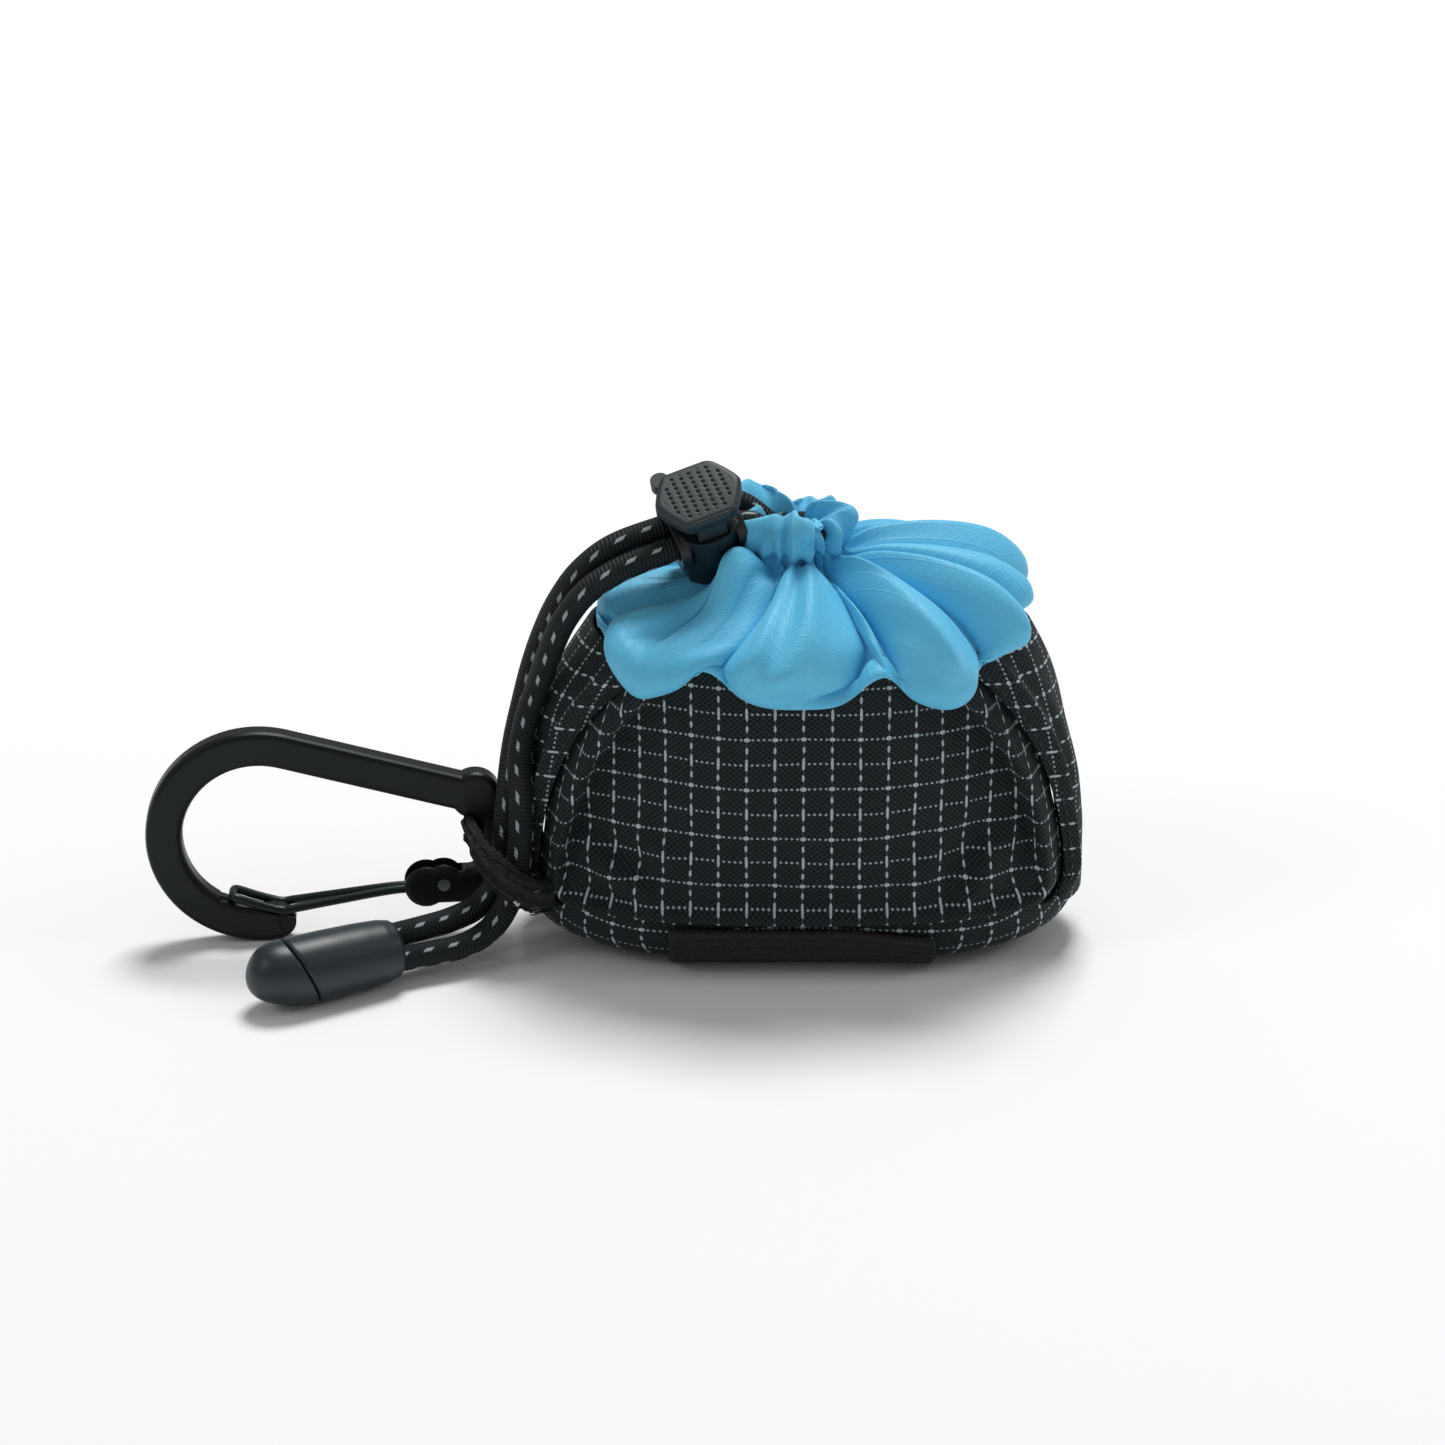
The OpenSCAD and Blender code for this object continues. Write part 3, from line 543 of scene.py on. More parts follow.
# creases: angle at the edge, angle at the throat, depth, half width in degrees, the
# shares of the way from edge to throat between which it shows, and how far the cloth
# beside it laps over it
creases = [
    (247, 247, 4.6, 6, 0.0, 0.97, 2.6), (271, 292, 6.0, 5.5, 0.12, 1.0, 2.6),
    (284, 312, 6.0, 5.5, 0.0, 1.0, -2.4), (323, 333, 4.4, 6, 0.0, 1.0, -2.2),
    (350, 345, 3.2, 6, 0.1, 0.95, -1.4), (8, 2, 3.0, 6, 0.1, 0.95, -1.0),
    (208, 222, 3.6, 7, 0.42, 0.75, 1.8), (190, 200, 2.6, 7, 0.0, 0.8, 1.0),
    (26, 22, 3.4, 6, 0, 0.95, 1.4), (62, 55, 4.2, 6, 0, 0.95, 1.6),
    (82, 80, 3.4, 6, 0.2, 0.95, 1.4), (100, 100, 4.4, 6, 0, 0.95, -1.6),
    (135, 126, 4.0, 7, 0, 0.95, -1.4), (160, 155, 3.0, 7, 0.1, 0.9, -1.2),
    (236, 236, 2.6, 5, 0.45, 0.98, 1.4)]
# ridges: the same without the lap
ridges = [
    (262, 278, 3.4, 3.2, 0.3, 1.0), (277, 301, 3.6, 3.4, 0.2, 1.0), (256, 262, 2.6, 3.4, 0.35, 1.0),
    (298, 322, 2.6, 4.0, 0.35, 1.0), (337, 339, 2.6, 5, 0.1, 0.95), (358, 353, 2.6, 5, 0.1, 0.95),
    (16, 11, 2.2, 5, 0.1, 0.95), (310, 328, 1.6, 4, 0.5, 1.0), (44, 38, 2.4, 6, 0.1, 0.95),
    (72, 67, 2.6, 5, 0.1, 0.95), (91, 90, 2.6, 5, 0.1, 0.95), (118, 112, 2.6, 6, 0.1, 0.95),
    (148, 142, 2.4, 6, 0.1, 0.95)]
# puffs: angle, share of the way from edge to throat, height, and half widths of both
puffs = [
    (205, 0.2, 1.6, 12, 0.2), (258, 0.3, 1.4, 12, 0.25), (303, 0.28, 2.4, 13, 0.3),
    (222, 0.3, 1.8, 12, 0.25), (226, 0.8, 5.4, 13, 0.13), (340, 0.4, 1.6, 10, 0.3),
    (15, 0.4, 1.6, 14, 0.3), (250, 0.85, 2.6, 9, 0.12)]


def spline_rows(rings, samples):
    """Catmull-Rom rows between a few given rings of points."""
    p = np.concatenate([2 * rings[:1] - rings[1:2], rings, 2 * rings[-1:] - rings[-2:-1]])
    where = np.linspace(0, len(rings) - 1, samples)
    low = np.minimum(where.astype(int), len(rings) - 2)
    t = (where - low)[:, None, None]
    a, b, c, d = (p[low + i] for i in range(4))
    return 0.5 * (2 * b + (c - a) * t + (2 * a - 5 * b + 4 * c - d) * t ** 2
                  + (3 * b - a - 3 * c + d) * t ** 3)


def outward_of(points):
    """Unit normals of a grid whose columns run round it."""
    across = np.roll(points, -1, axis=1) - np.roll(points, 1, axis=1)
    up = np.gradient(points, axis=0)
    normal = np.cross(across, up)
    return normal / np.maximum(np.linalg.norm(normal, axis=2, keepdims=True), 1e-9)


def turn_between(a, b):
    """The signed angle from b to a, in degrees, at most half a turn."""
    return (a - b + 180) % 360 - 180


def collar_points(columns):
    """The gathered collar: a few rings that follow the four side profiles, joined by
    splines, then pushed in along each crease and out along each ridge."""
    a = np.linspace(0, 360, columns, endpoint=False)
    rad = np.radians(a)
    c, s = np.cos(rad), np.sin(rad)
    right, back, left, front = (np.array(side_profiles[k]) for k in ("right", "back", "left", "front"))
    power = 2 / squareness_of_ring[:, None]
    half_w = np.where(c > 0, right[:, :1], left[:, :1])
    half_d = np.where(s > 0, back[:, :1], front[:, :1])
    x = half_w * np.sign(c) * np.abs(c) ** power
    y = half_d * np.sign(s) * np.abs(s) ** power
    z_of = [np.where(c > 0, right[:, 1:], left[:, 1:]), np.where(s > 0, back[:, 1:], front[:, 1:])]
    z = z_of[0] * c ** 2 + z_of[1] * s ** 2
    edge = round_the_collar(edge_angles, edge_heights, a, 7)
    z = z + edge_share[:, None] * (edge - z[3])
    centre = np.interp(np.arange(len(right)), [0, 6, 10], [COLLAR_X - 1.5, COLLAR_X - 1.2, THROAT_X])
    rings = np.stack([x + centre[:, None], y, z], axis=-1)
    # the frill: it flares and loops above the throat, and reaches behind the lock
    neck = 7.9 + 3.8 * hump(turn_between(a, 146), 0, 24) + 2.2 * hump(turn_between(a, 185), 0, 24)
    neck = neck - 0.6 * hump(turn_between(a, 0), 0, 50)
    waves = 1.1 * np.cos(np.radians(5 * a + 40)) + 0.8 * np.cos(np.radians(9 * a - 25))
    frill = []
    for lift, grow, wave in ((66.1, 0.0, 0.2), (68.0, 0.3, 0.35), (70.0, 0.2, 1.1), (71.4, -1.2, 1.5),
                             (71.0, -2.6, 1.5), (69.4, -4.4, 0.9), (66.5, -5.6, 0.3), (61.5, -5.8, 0.0)):
        radius = neck + grow + wave * waves
        top = wave * np.cos(np.radians(3 * a - 60)) * 0.5
        top = top + 1.6 * wave * hump(turn_between(a, 150), 0, 30) / 1.5
        frill.append(np.stack([THROAT_X + radius * c, radius * s, lift + top], axis=-1))
    rings = np.concatenate([rings, np.array(frill)])
    points = spline_rows(rings, 220)
    level = np.linspace(0, len(rings) - 1, 220)
    way = np.clip((level - 3) / 6.5, 0, 1)[:, None]
    fade = smooth_step(level, 1.5, 3.2)[:, None]
    height = 0
    lapped = 0
    for edge_a, throat_a, amount, width, start, stop, *lap in (*creases, *ridges):
        middle = edge_a + turn_between(throat_a, edge_a) * way ** 1.2
        off = turn_between(a[None, :], middle)
        span = width * (1 + 0.8 * way)
        shown = smooth_step(way, start - 0.12, start + 0.06)
        shown = shown * (1 - smooth_step(way, stop - 0.15, stop + 0.1))
        shown = shown * (1 - 0.35 * way)
        if lap:
            # the flank that laps over is steep, as cloth folded over itself is
            span = span * np.where(off * lap[0] > 0, 1.25, 0.6)
            lapped = lapped + lap[0] * shown * hump(off / span, -0.5 * np.sign(lap[0]), 0.8)
            amount = -amount
        height = height + amount * shown * np.exp(-(off / span) ** 2)
    for angle, place, amount, width, length in puffs:
        nearby = hump(turn_between(a[None, :], angle), 0, width)
        height = height + amount * nearby * hump(way, place, length)
    pleats = 0.55 * np.cos(np.radians(19 * a + 30 * np.cos(rad)))[None, :] * hump(level, 10, 2.2)[:, None]
    pleats = pleats + 0.5 * np.cos(np.radians(13 * a + 80))[None, :] * hump(level, 12.2, 1.6)[:, None]
    uneven = (np.sin(np.radians(31 * a))[None, :]
              + np.sin(np.radians(47 * a[None, :] + 160 * way)) * np.cos(np.radians(5 * a)))
    ripple = 0.26 * uneven * smooth_step(way, 0.15, 0.7) * (1 - smooth_step(level, 9, 12)[:, None])
    sideways = np.roll(points, -1, axis=1) - np.roll(points, 1, axis=1)
    sideways /= np.linalg.norm(sideways, axis=2, keepdims=True)
    moved = (outward_of(points) * (height * fade + pleats + ripple)[..., None]
             + sideways * (lapped * fade)[..., None])
    return points + moved, a


def ripstop(name):
    """Sky-blue ripstop nylon: a thin, slightly shiny plain weave with a thicker thread
    every 2.2 mm each way, which shows as a faint raised grid."""
    material, tree, shader = new_material(name)
    uv = node(tree, "UVMap", uv_map="cloth")
    cells = node(tree, "VectorMath", {0: uv, 1: (1 / (2.2 * MM), 1 / (2.2 * MM), 0)},
                 operation="MULTIPLY")
    split = node(tree, "SeparateXYZ", {0: cells})
    lines = []
    for side in (0, 1):
        near = node(tree, "Math", {0: split.outputs[side], 1: 0.5}, operation="PINGPONG")
        line = node(tree, "MapRange", {0: near, 1: 0.02, 2: 0.075, 3: 1.0, 4: 0.0})
        lines.append(line.outputs[0])
    grid = node(tree, "Math", {0: lines[0], 1: lines[1]}, operation="MAXIMUM")
    threads = node(tree, "VectorMath", {0: uv, 1: (np.pi / (0.3 * MM), np.pi / (0.3 * MM), 0)},
                   operation="MULTIPLY")
    thread = node(tree, "SeparateXYZ", {0: threads})
    warp = node(tree, "Math", {0: thread}, operation="SINE")
    weft = node(tree, "Math", {0: thread.outputs[1]}, operation="SINE")
    weave = node(tree, "Math", {0: warp, 1: weft}, operation="MULTIPLY")
    tone = node(tree, "TexNoise", {"Vector": uv, "Scale": 60.0, "Detail": 3.0})
    base = node(tree, "Mix",
                {0: tone, 6: linear_colour("#4bb4de"), 7: linear_colour("#66caee")},
                data_type="RGBA")
    tint = node(tree, "Math", {0: grid, 1: 0.14}, operation="MULTIPLY")
    colour = node(tree, "Mix", {0: tint, 6: base.outputs[2], 7: linear_colour("#7fcdf5")},
                  data_type="RGBA")
    height = node(tree, "Math", {0: weave, 1: 0.25, 2: grid},
                  operation="MULTIPLY_ADD")
    bump = node(tree, "Bump", {"Height": height, "Strength": 0.45, "Distance": 0.1 * MM})
    tree.links.new(colour.outputs[2], shader.inputs["Base Color"])
    tree.links.new(bump.outputs[0], shader.inputs["Normal"])
    shader.inputs["Roughness"].default_value = 0.55
    shader.inputs["Sheen Weight"].default_value = 0.2
    shader.inputs["Sheen Roughness"].default_value = 0.35
    return material


points, angles = collar_points(720)
rise = np.linalg.norm(np.diff(points, axis=0), axis=2)
up = np.concatenate([np.zeros((1, rise.shape[1])), rise.cumsum(axis=0)])
up = np.concatenate([up, up[:, :1]], axis=1)
around = np.broadcast_to(np.linspace(0, 188, up.shape[1])[None, :], up.shape)
collar = grid_piece("collar_cloth", points, np.stack([around, up], axis=-1),
                    ripstop("ripstop_nylon"), around=True)
add_wall(collar, 0.35)
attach(collar, "pouch")
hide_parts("collar")

# ---- drawcord in the hem -----------------------------------------------------------
# The same elastic cord goes once round inside the collar's hem. Both of its ends
# leave the hem beside the lock and pass through it.

LOOP_R = 4.3
LOOP_Z = 67.5
loop_angle = np.radians(np.arange(145, -156, -20))
loop_ring = np.stack([THROAT_X + LOOP_R * np.cos(loop_angle), LOOP_R * np.sin(loop_angle),
                      np.full(len(loop_angle), LOOP_Z)], axis=1).tolist()
loop_route = ([lock_point([x, STRAND_GAP / 2, 0]) for x in (-LOCK_HALF_L, 0, LOCK_HALF_L + 0.8)] + loop_ring
              + [lock_point([x, -STRAND_GAP / 2, 0]) for x in (LOCK_HALF_L + 0.8, 0, -LOCK_HALF_L)])
line, length = smooth_route(loop_route, 0.6)
hem_cord = tube_piece("drawcord_in_hem", line, CORD_D - 0.3, [0.1, 0, 1], cord_material, sides=14)
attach(hem_cord, "pouch")
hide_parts("drawcord_loop")

# ---- seam bindings and stitching -----------------------------------------------------
# Black ribbed tape folded over the raw edges inside each seam, and a row of black
# lockstitches in the gusset's rolled edge beside it.


def woven_tape(name, rib_mm, dark, light, rough):
    """Ribbed polyester tape or webbing: close ribs across its width, a little fuzz."""
    material, tree, shader = new_material(name)
    uv = node(tree, "UVMap", uv_map="cloth")
    split = node(tree, "SeparateXYZ", {0: uv})
    rib = node(tree, "Math", {0: split.outputs[1], 1: 2 * np.pi / (rib_mm * MM)}, operation="MULTIPLY")
    rib_wave = node(tree, "Math", {0: rib}, operation="SINE")
    pick = node(tree, "Math", {0: split, 1: 2 * np.pi / (0.7 * MM), 2: rib},
                operation="MULTIPLY_ADD")
    pick_wave = node(tree, "Math", {0: pick}, operation="SINE")
    both = node(tree, "Math", {0: pick_wave, 1: 0.4, 2: rib_wave},
                operation="MULTIPLY_ADD")
    place = node(tree, "TexCoord")
    fuzz = node(tree, "TexNoise", {"Vector": place.outputs["Object"], "Scale": 2600.0, "Detail": 3.0})
    height = node(tree, "Math", {0: fuzz, 1: 1.6, 2: both}, operation="MULTIPLY_ADD")
    shade = node(tree, "MapRange", {0: height, 1: -0.6, 2: 2.2})
    colour = node(tree, "Mix", {0: shade, 6: linear_colour(dark), 7: linear_colour(light)},
                  data_type="RGBA")
    bump = node(tree, "Bump", {"Height": height, "Strength": 0.8, "Distance": 0.2 * MM})
    tree.links.new(colour.outputs[2], shader.inputs["Base Color"])
    tree.links.new(bump.outputs[0], shader.inputs["Normal"])
    shader.inputs["Roughness"].default_value = rough
    return material


def thread_material(name, colour):
    """Twisted bonded polyester thread: satin, with fine diagonal strands."""
    material, tree, shader = new_material(name)
    place = node(tree, "TexCoord")
    twist = node(tree, "TexWave", {"Vector": place.outputs["Object"], "Scale": 900.0},
                 bands_direction="DIAGONAL")
    bump = node(tree, "Bump", {"Height": twist.outputs[1], "Strength": 0.4, "Distance": 0.05 * MM})
    tree.links.new(bump.outputs[0], shader.inputs["Normal"])
    shader.inputs["Base Color"].default_value = linear_colour(colour)
    shader.inputs["Roughness"].default_value = 0.5
    return material


def stitches(name, starts, ends, thickness, rise, material):
    """A short round stitch from each start to each end, arched outwards by rise, and
    thinned to nothing at both ends."""
    t = np.linspace(0, 1, 7)
    angle = np.linspace(0, 2 * np.pi, 6, endpoint=False)
    run = ends - starts
    out = rise / np.linalg.norm(rise, axis=1, keepdims=True)
    side = np.cross(run / np.linalg.norm(run, axis=1, keepdims=True), out)
    middle = (starts[:, None] + run[:, None] * t[None, :, None]
              + rise[:, None] * np.sin(np.pi * t)[None, :, None])
    girth = (thickness / 2 * np.sin(np.pi * np.clip(t, 0.04, 0.96)) ** 0.4)[None, :, None, None]
    ring = (side[:, None, None] * np.cos(angle)[None, None, :, None]
            + out[:, None, None] * np.sin(angle)[None, None, :, None])
    points = middle[:, :, None] + girth * ring
    count, rows, columns = points.shape[:3]
    index = np.arange(count * rows * columns).reshape(count, rows, columns)
    after = np.roll(index, -1, axis=2)
    quads = np.stack([index[:, :-1], after[:, :-1], after[:, 1:], index[:, 1:]], axis=-1).reshape(-1, 4)
    caps = np.concatenate([index[:, 0, ::-1], index[:, -1]])
    mesh = bpy.data.meshes.new(name)
    mesh.from_pydata((points.reshape(-1, 3) * MM).tolist(), [], quads.tolist() + caps.tolist())
    mesh.polygons.foreach_set("use_smooth", np.ones(len(mesh.polygons), bool))
    mesh.materials.append(material)
    piece = bpy.data.objects.new(name, mesh)
    bpy.context.scene.collection.objects.link(piece)
    return piece


binding_material = woven_tape("binding_tape", 0.6, "#070808", "#16181a", 0.85)
dark_thread = thread_material("dark_thread", "#1d2022")
z = np.linspace(15, MOUTH_Z - 1, 60)
for name, turn in (("front_seam_binding", 1), ("back_seam_binding", -1)):
    tapes = []
    for side in (-1, 1):
        x = side * (seam_x(z) - 3.2)
        path = np.stack([x, -seam_y(x, z) + 5.2, z], axis=1) * [turn, turn, 1]
        across = 2.0 * np.sign(circle(1, 16)) * np.abs(circle(1, 16)) ** 0.7 * [1, 0.24]
        tapes.append(sweep(path, across, [0, 1, 0]))
    uv = np.stack(np.meshgrid(np.linspace(0, 10, 17), np.linspace(0, 40, 60)), axis=-1)
    tape_pieces = [grid_piece(name + "_" + end, tape, uv, binding_material, around=True, ends=True)
                   for end, tape in zip(("left", "right"), tapes)]
    for tape_piece in tape_pieces:
        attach(tape_piece, "pouch")
    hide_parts(name)

STITCH_PITCH = 1.9
for name, turn in (("front_seam_stitching", 1), ("back_seam_stitching", -1)):
    z = np.linspace(MOUTH_Z - 3, SEAM_Z + 3.4, 300)
    x = seam_x(z)
    runs = []
    for side in (-1, 1):
        path = np.stack([side * (x + 1.15), -seam_y(x, z) + 1.4, z], axis=1)
        along = np.concatenate([[0], np.cumsum(np.linalg.norm(np.diff(path, axis=0), axis=1))])
        marks = np.arange(0, along[-1] - STITCH_PITCH, STITCH_PITCH)
        runs.append([np.stack([np.interp(marks + shift, along, path[:, k]) for k in range(3)], axis=1)
                     for shift in (0.2, STITCH_PITCH - 0.2)])
    starts, finishes = (np.vstack([runs[0][k], runs[1][k]]) * [turn, turn, 1] for k in (0, 1))
    flat = np.zeros(len(starts))
    outward = np.stack([np.sign(starts[:, 0]) * 0.75, flat - 0.66 * turn, flat], axis=1)
    seam_stitches = stitches(name, starts + outward * 0.3, finishes + outward * 0.3, 0.42,
                             outward * 0.3, dark_thread)
    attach(seam_stitches, "pouch")

# ---- corner tab --------------------------------------------------------------------
# A loop of soft brushed tape, sewn into the lower left corner and closed with a light
# bartack. It holds the two strands and the small end of the carabiner.

TAB_ROUTE = [[-39.6, -12.4], [-42.2, -14.2], [-45.2, -15.2], [-48.3, -14.3], [-50.6, -11.4], [-52, -7.4],
             [-53, -3], [-52.6, 0.6], [-51, 2.9], [-48.6, 3.8], [-45.6, 3.2], [-43.2, 1.6]]
TAB_LOW = 8.4
TAB_HIGH = 13.6
tab_rise = [0, 0.3, 2.2, 5.4, 7.6, 8.3, 7.6, 6.6, 6.0, 5.4, 4.6, 4.2]
tab_line, tab_length = smooth_route([[x, y, (TAB_LOW + TAB_HIGH) / 2 + up]
                                     for (x, y), up in zip(TAB_ROUTE, tab_rise)], 0.35)
rim = np.linspace(0, 2 * np.pi, 64, endpoint=False)
flat_oval = np.stack([0.85 * np.sign(np.sin(rim)) * np.abs(np.sin(rim)) ** 0.6,
                      (TAB_HIGH - TAB_LOW) / 2 * np.sign(np.cos(rim)) * np.abs(np.cos(rim)) ** 0.5], axis=1)
share = np.linspace(0, 1, len(tab_line))[:, None]
tuck_in = 1 - 0.3 * hump(share, 0.52, 0.16)
plump = 1 + 0.4 * hump(share, 0.2, 0.15)
section = np.stack([flat_oval[:, 0] * (1 + 0.35 * np.sin(7 * rim + 9 * share)) * plump,
                    flat_oval[:, 1] * tuck_in + 0.5 * np.sin(11 * share) + 0 * rim], axis=-1)
tab_points = sweep(tab_line, section[..., ::-1], [0, 0, 1])
tab_points = tab_points + 0.2 * np.sin(tab_points[..., ::-1] * 5.1) * np.cos(tab_points * 3.7)
tab_uv = np.stack(np.broadcast_arrays(share * tab_length, np.linspace(0, 18, 65)[None]), axis=-1)
tab = grid_piece("corner_tab_tape", tab_points, tab_uv,
                 woven_tape("brushed_tape", 0.9, "#070909", "#23292b", 0.95), around=True, ends=True)
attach(tab, "pouch")
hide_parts("corner_tab")

tack_z = np.arange(TAB_LOW + 0.6, TAB_HIGH - 0.4, 0.55)
tack_low = np.stack([np.full(len(tack_z), -42.9), np.full(len(tack_z), -15.35), tack_z], axis=1)
tack = stitches("tab_bartack_thread", tack_low, tack_low + [2.1, 1.3, 0.12], 0.4,
                np.tile([0.15, -0.3, 0], (len(tack_z), 1)), thread_material("light_thread", "#4b5053"))
# the bartack's thread end: a real stub of thread, coloured near-white as a painted highlight for the glint
# on it
knot_low = np.array([[-45.4, -15.9, 11.5], [-45.1, -15.9, 11.1]])
knot = stitches("tab_thread_end", knot_low, knot_low + [0.9, 0.1, 0.35], 0.6,
                np.tile([0, -0.3, -0.1], (2, 1)), thread_material("thread_end_painted_glint", "#c8ccce"))
for piece in (tack, knot):
    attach(piece, "pouch")
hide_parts("tab_bartack")

# ---- strap under the base --------------------------------------------------------------
# Black ribbed webbing sewn under the base, about 49 mm over its curve. Its front and
# back edges curl up against the rounded foot of the pouch.

STRAP_HALF_L = 21.0
strap_side = np.array([[-12.6, 0.75], [-15.2, 1.5], [-17.4, 2.9], [-19.0, 4.4], [-20.1, 6.6], [-20.7, 8.6]])
strap_across = np.vstack([strap_side[::-1], [[-9, 0.75], [-4, 0.75], [0, 0.75], [4, 0.75], [9, 0.75]],
                          strap_side * [-1, 1]])
across_line, _ = smooth_route([[0, y, z] for y, z in strap_across], 0.25)
lengthwise = np.linspace(-STRAP_HALF_L, STRAP_HALF_L, 121)
fall = np.gradient(across_line, axis=0)
fall /= np.linalg.norm(fall, axis=1, keepdims=True)
strap_up = np.stack([np.zeros(len(fall)), -fall[:, 2], fall[:, 1]], axis=1)
rib_count = np.arange(len(across_line))
rib = 0.16 * np.abs(np.sin(rib_count * np.pi / 6))
end_round = np.sqrt(np.maximum(0, 1 - np.maximum(0, (np.abs(lengthwise) - STRAP_HALF_L + 0.7) / 0.7) ** 2))
curl = 1 - 0.2 * smooth_step(lengthwise, 6, STRAP_HALF_L)[:, None]
rise = np.maximum(0, across_line[None, :, 2] - 0.75)
bed = np.stack(np.broadcast_arrays(lengthwise[:, None], across_line[None, :, 1],
                                   0.75 + rise * curl), axis=-1)
half_t = (0.55 + rib)[None, :, None] * end_round[:, None, None]
top = bed + strap_up[None] * half_t
bottom = bed - strap_up[None] * half_t
bottom[..., 2] = np.maximum(bottom[..., 2], 0.02)
strap_points = np.concatenate([top, bottom[:, ::-1]], axis=1)
strap_uv = np.stack(np.broadcast_arrays(
    lengthwise[:, None], np.concatenate([rib_count, rib_count[::-1], [0]])[None] * 0.25), axis=-1)
strap = grid_piece("base_strap_webbing", strap_points[::-1], strap_uv[::-1],
                   woven_tape("ribbed_webbing", 1.5, "#050606", "#1a1d1f", 0.85), around=True, ends=True)
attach(strap, "pouch")
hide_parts("base_strap")

tack_y = np.arange(-12, 12.1, 0.8)
level = np.full(len(tack_y), 1.25)
tacks = np.vstack([np.stack([0 * tack_y + side * STRAP_HALF_L * 0.93, tack_y, level], axis=1)
                   for side in (-1, 1)])
strap_tacks = stitches("strap_bartack_thread", tacks - [1, 0, 0], tacks + [1, 0.3, 0], 0.4,
                       np.tile([0, 0, 0.2], (len(tacks), 1)), dark_thread)
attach(strap_tacks, "pouch")
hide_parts("strap_bartacks")

# ---- cord lock ---------------------------------------------------------------------
# A moulded acetal cup with a sprung button. The button's broad thumb pad has rows of
# small slanted pits for grip.


def moulded_plastic(name, colour, rough, grain_mm, edge_mm=0.25):
    """Injection-moulded acetal: a fine spark-eroded grain, and slightly rounded edges
    that catch the light."""
    material, tree, shader = new_material(name)
    place = node(tree, "TexCoord")
    edge = node(tree, "Bevel", {"Radius": edge_mm * MM}, samples=6)
    grain = node(tree, "TexNoise", {"Vector": place.outputs["Object"], "Scale": 1 / (grain_mm * MM),
                                              "Detail": 2.0})
    cloud = node(tree, "TexNoise", {"Vector": place.outputs["Object"], "Scale": 160.0, "Detail": 2.0})
    tone = node(tree, "MapRange", {0: cloud, 3: rough - 0.08, 4: rough + 0.08})
    bump = node(tree, "Bump", {"Height": grain, "Strength": 0.35, "Distance": 0.06 * MM,
                                         "Normal": edge})
    tree.links.new(bump.outputs[0], shader.inputs["Normal"])
    tree.links.new(tone.outputs[0], shader.inputs["Roughness"])
    shader.inputs["Base Color"].default_value = linear_colour(colour)
    shader.inputs["IOR"].default_value = 1.48
    return material


def dress(name, material):
    """Gives a CAD node its finish."""
    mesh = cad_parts[name].data
    mesh.materials.clear()
    mesh.materials.append(material)


PAD_HALF_L = 7.0
PAD_HALF_W = 5.6
PAD_T = 2.3
PAD_Z = 6.25
EDGE_ROUND = 0.9
lock_plastic = moulded_plastic("lock_acetal", "#20282b", 0.5, 0.18)


def thumb_pad():
    """Rows run across the pad and columns go over its top, along it, and back under.
    Its outline is a long hexagon with rounded corners, its top edge is rounded, and
    pits of a slanted oval shape are pressed into the top."""
    t = np.sin(np.linspace(-np.pi / 2, np.pi / 2, 130))[:, None]
    s = np.sin(np.linspace(-np.pi / 2, np.pi / 2, 170))[None, :]
    y = PAD_HALF_W * t
    half_l = PAD_HALF_L - 3.0 * np.abs(t) ** 1.35 - 1.1 * smooth_step(np.abs(t), 0.86, 1.0) ** 2
    x = s * half_l
    y = np.broadcast_to(y, x.shape)
    edge = np.minimum(PAD_HALF_W - np.abs(y), (half_l - np.abs(x)) * 0.86)
    inside = np.clip(edge / EDGE_ROUND, 0, 1)
    height = PAD_T - EDGE_ROUND * (1 - arch(1 - inside)) - 0.25 * (y / PAD_HALF_W) ** 2
    column = x / 1.42
    row = y / 0.98 + 0.5 * (np.round(column) % 2)
    pit_x = (column - np.round(column)) * 1.42
    pit_y = (row - np.round(row)) * 0.98
    slanted = np.hypot((pit_x - 0.5 * pit_y) / 0.34, (pit_y + 0.5 * pit_x) / 0.26)
    pits = (1 - smooth_step(slanted, 0.55, 1.15)) * smooth_step(edge, 1.2, 1.5)
    height = height - 0.34 * pits
    top = np.stack([x, y, height], axis=-1)
    under = top[:, ::-1].copy()[:, ::6]
    under[..., 2] = 0.25 * (1 - np.clip((half_l - np.abs(under[..., 0])) / 0.3, 0, 1))
    local = np.concatenate([top, under], axis=1)
    local[..., 2] += PAD_Z
    ax, ay, az = LOCK_TURN
    turn_x = np.array([[1, 0, 0], [0, np.cos(ax), -np.sin(ax)], [0, np.sin(ax), np.cos(ax)]])
    turn_y = np.array([[np.cos(ay), 0, np.sin(ay)], [0, 1, 0], [-np.sin(ay), 0, np.cos(ay)]])
    turn_z = np.array([[np.cos(az), -np.sin(az), 0], [np.sin(az), np.cos(az), 0], [0, 0, 1]])
    points = local @ (turn_z @ turn_y @ turn_x).T + LOCK_AT
    uv = np.stack(np.broadcast_arrays(np.arange(points.shape[1] + 1)[None] * 0.1,
                                      np.arange(len(points))[:, None] * 0.1), axis=-1)
    return grid_piece("lock_thumb_pad", points, uv, lock_plastic, around=True, ends=True)


pad = thumb_pad()
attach(pad, "lock_button")
dress("lock_body", moulded_plastic("lock_body_acetal", "#101618", 0.42, 0.2, 0.35))
dress("lock_button", lock_plastic)

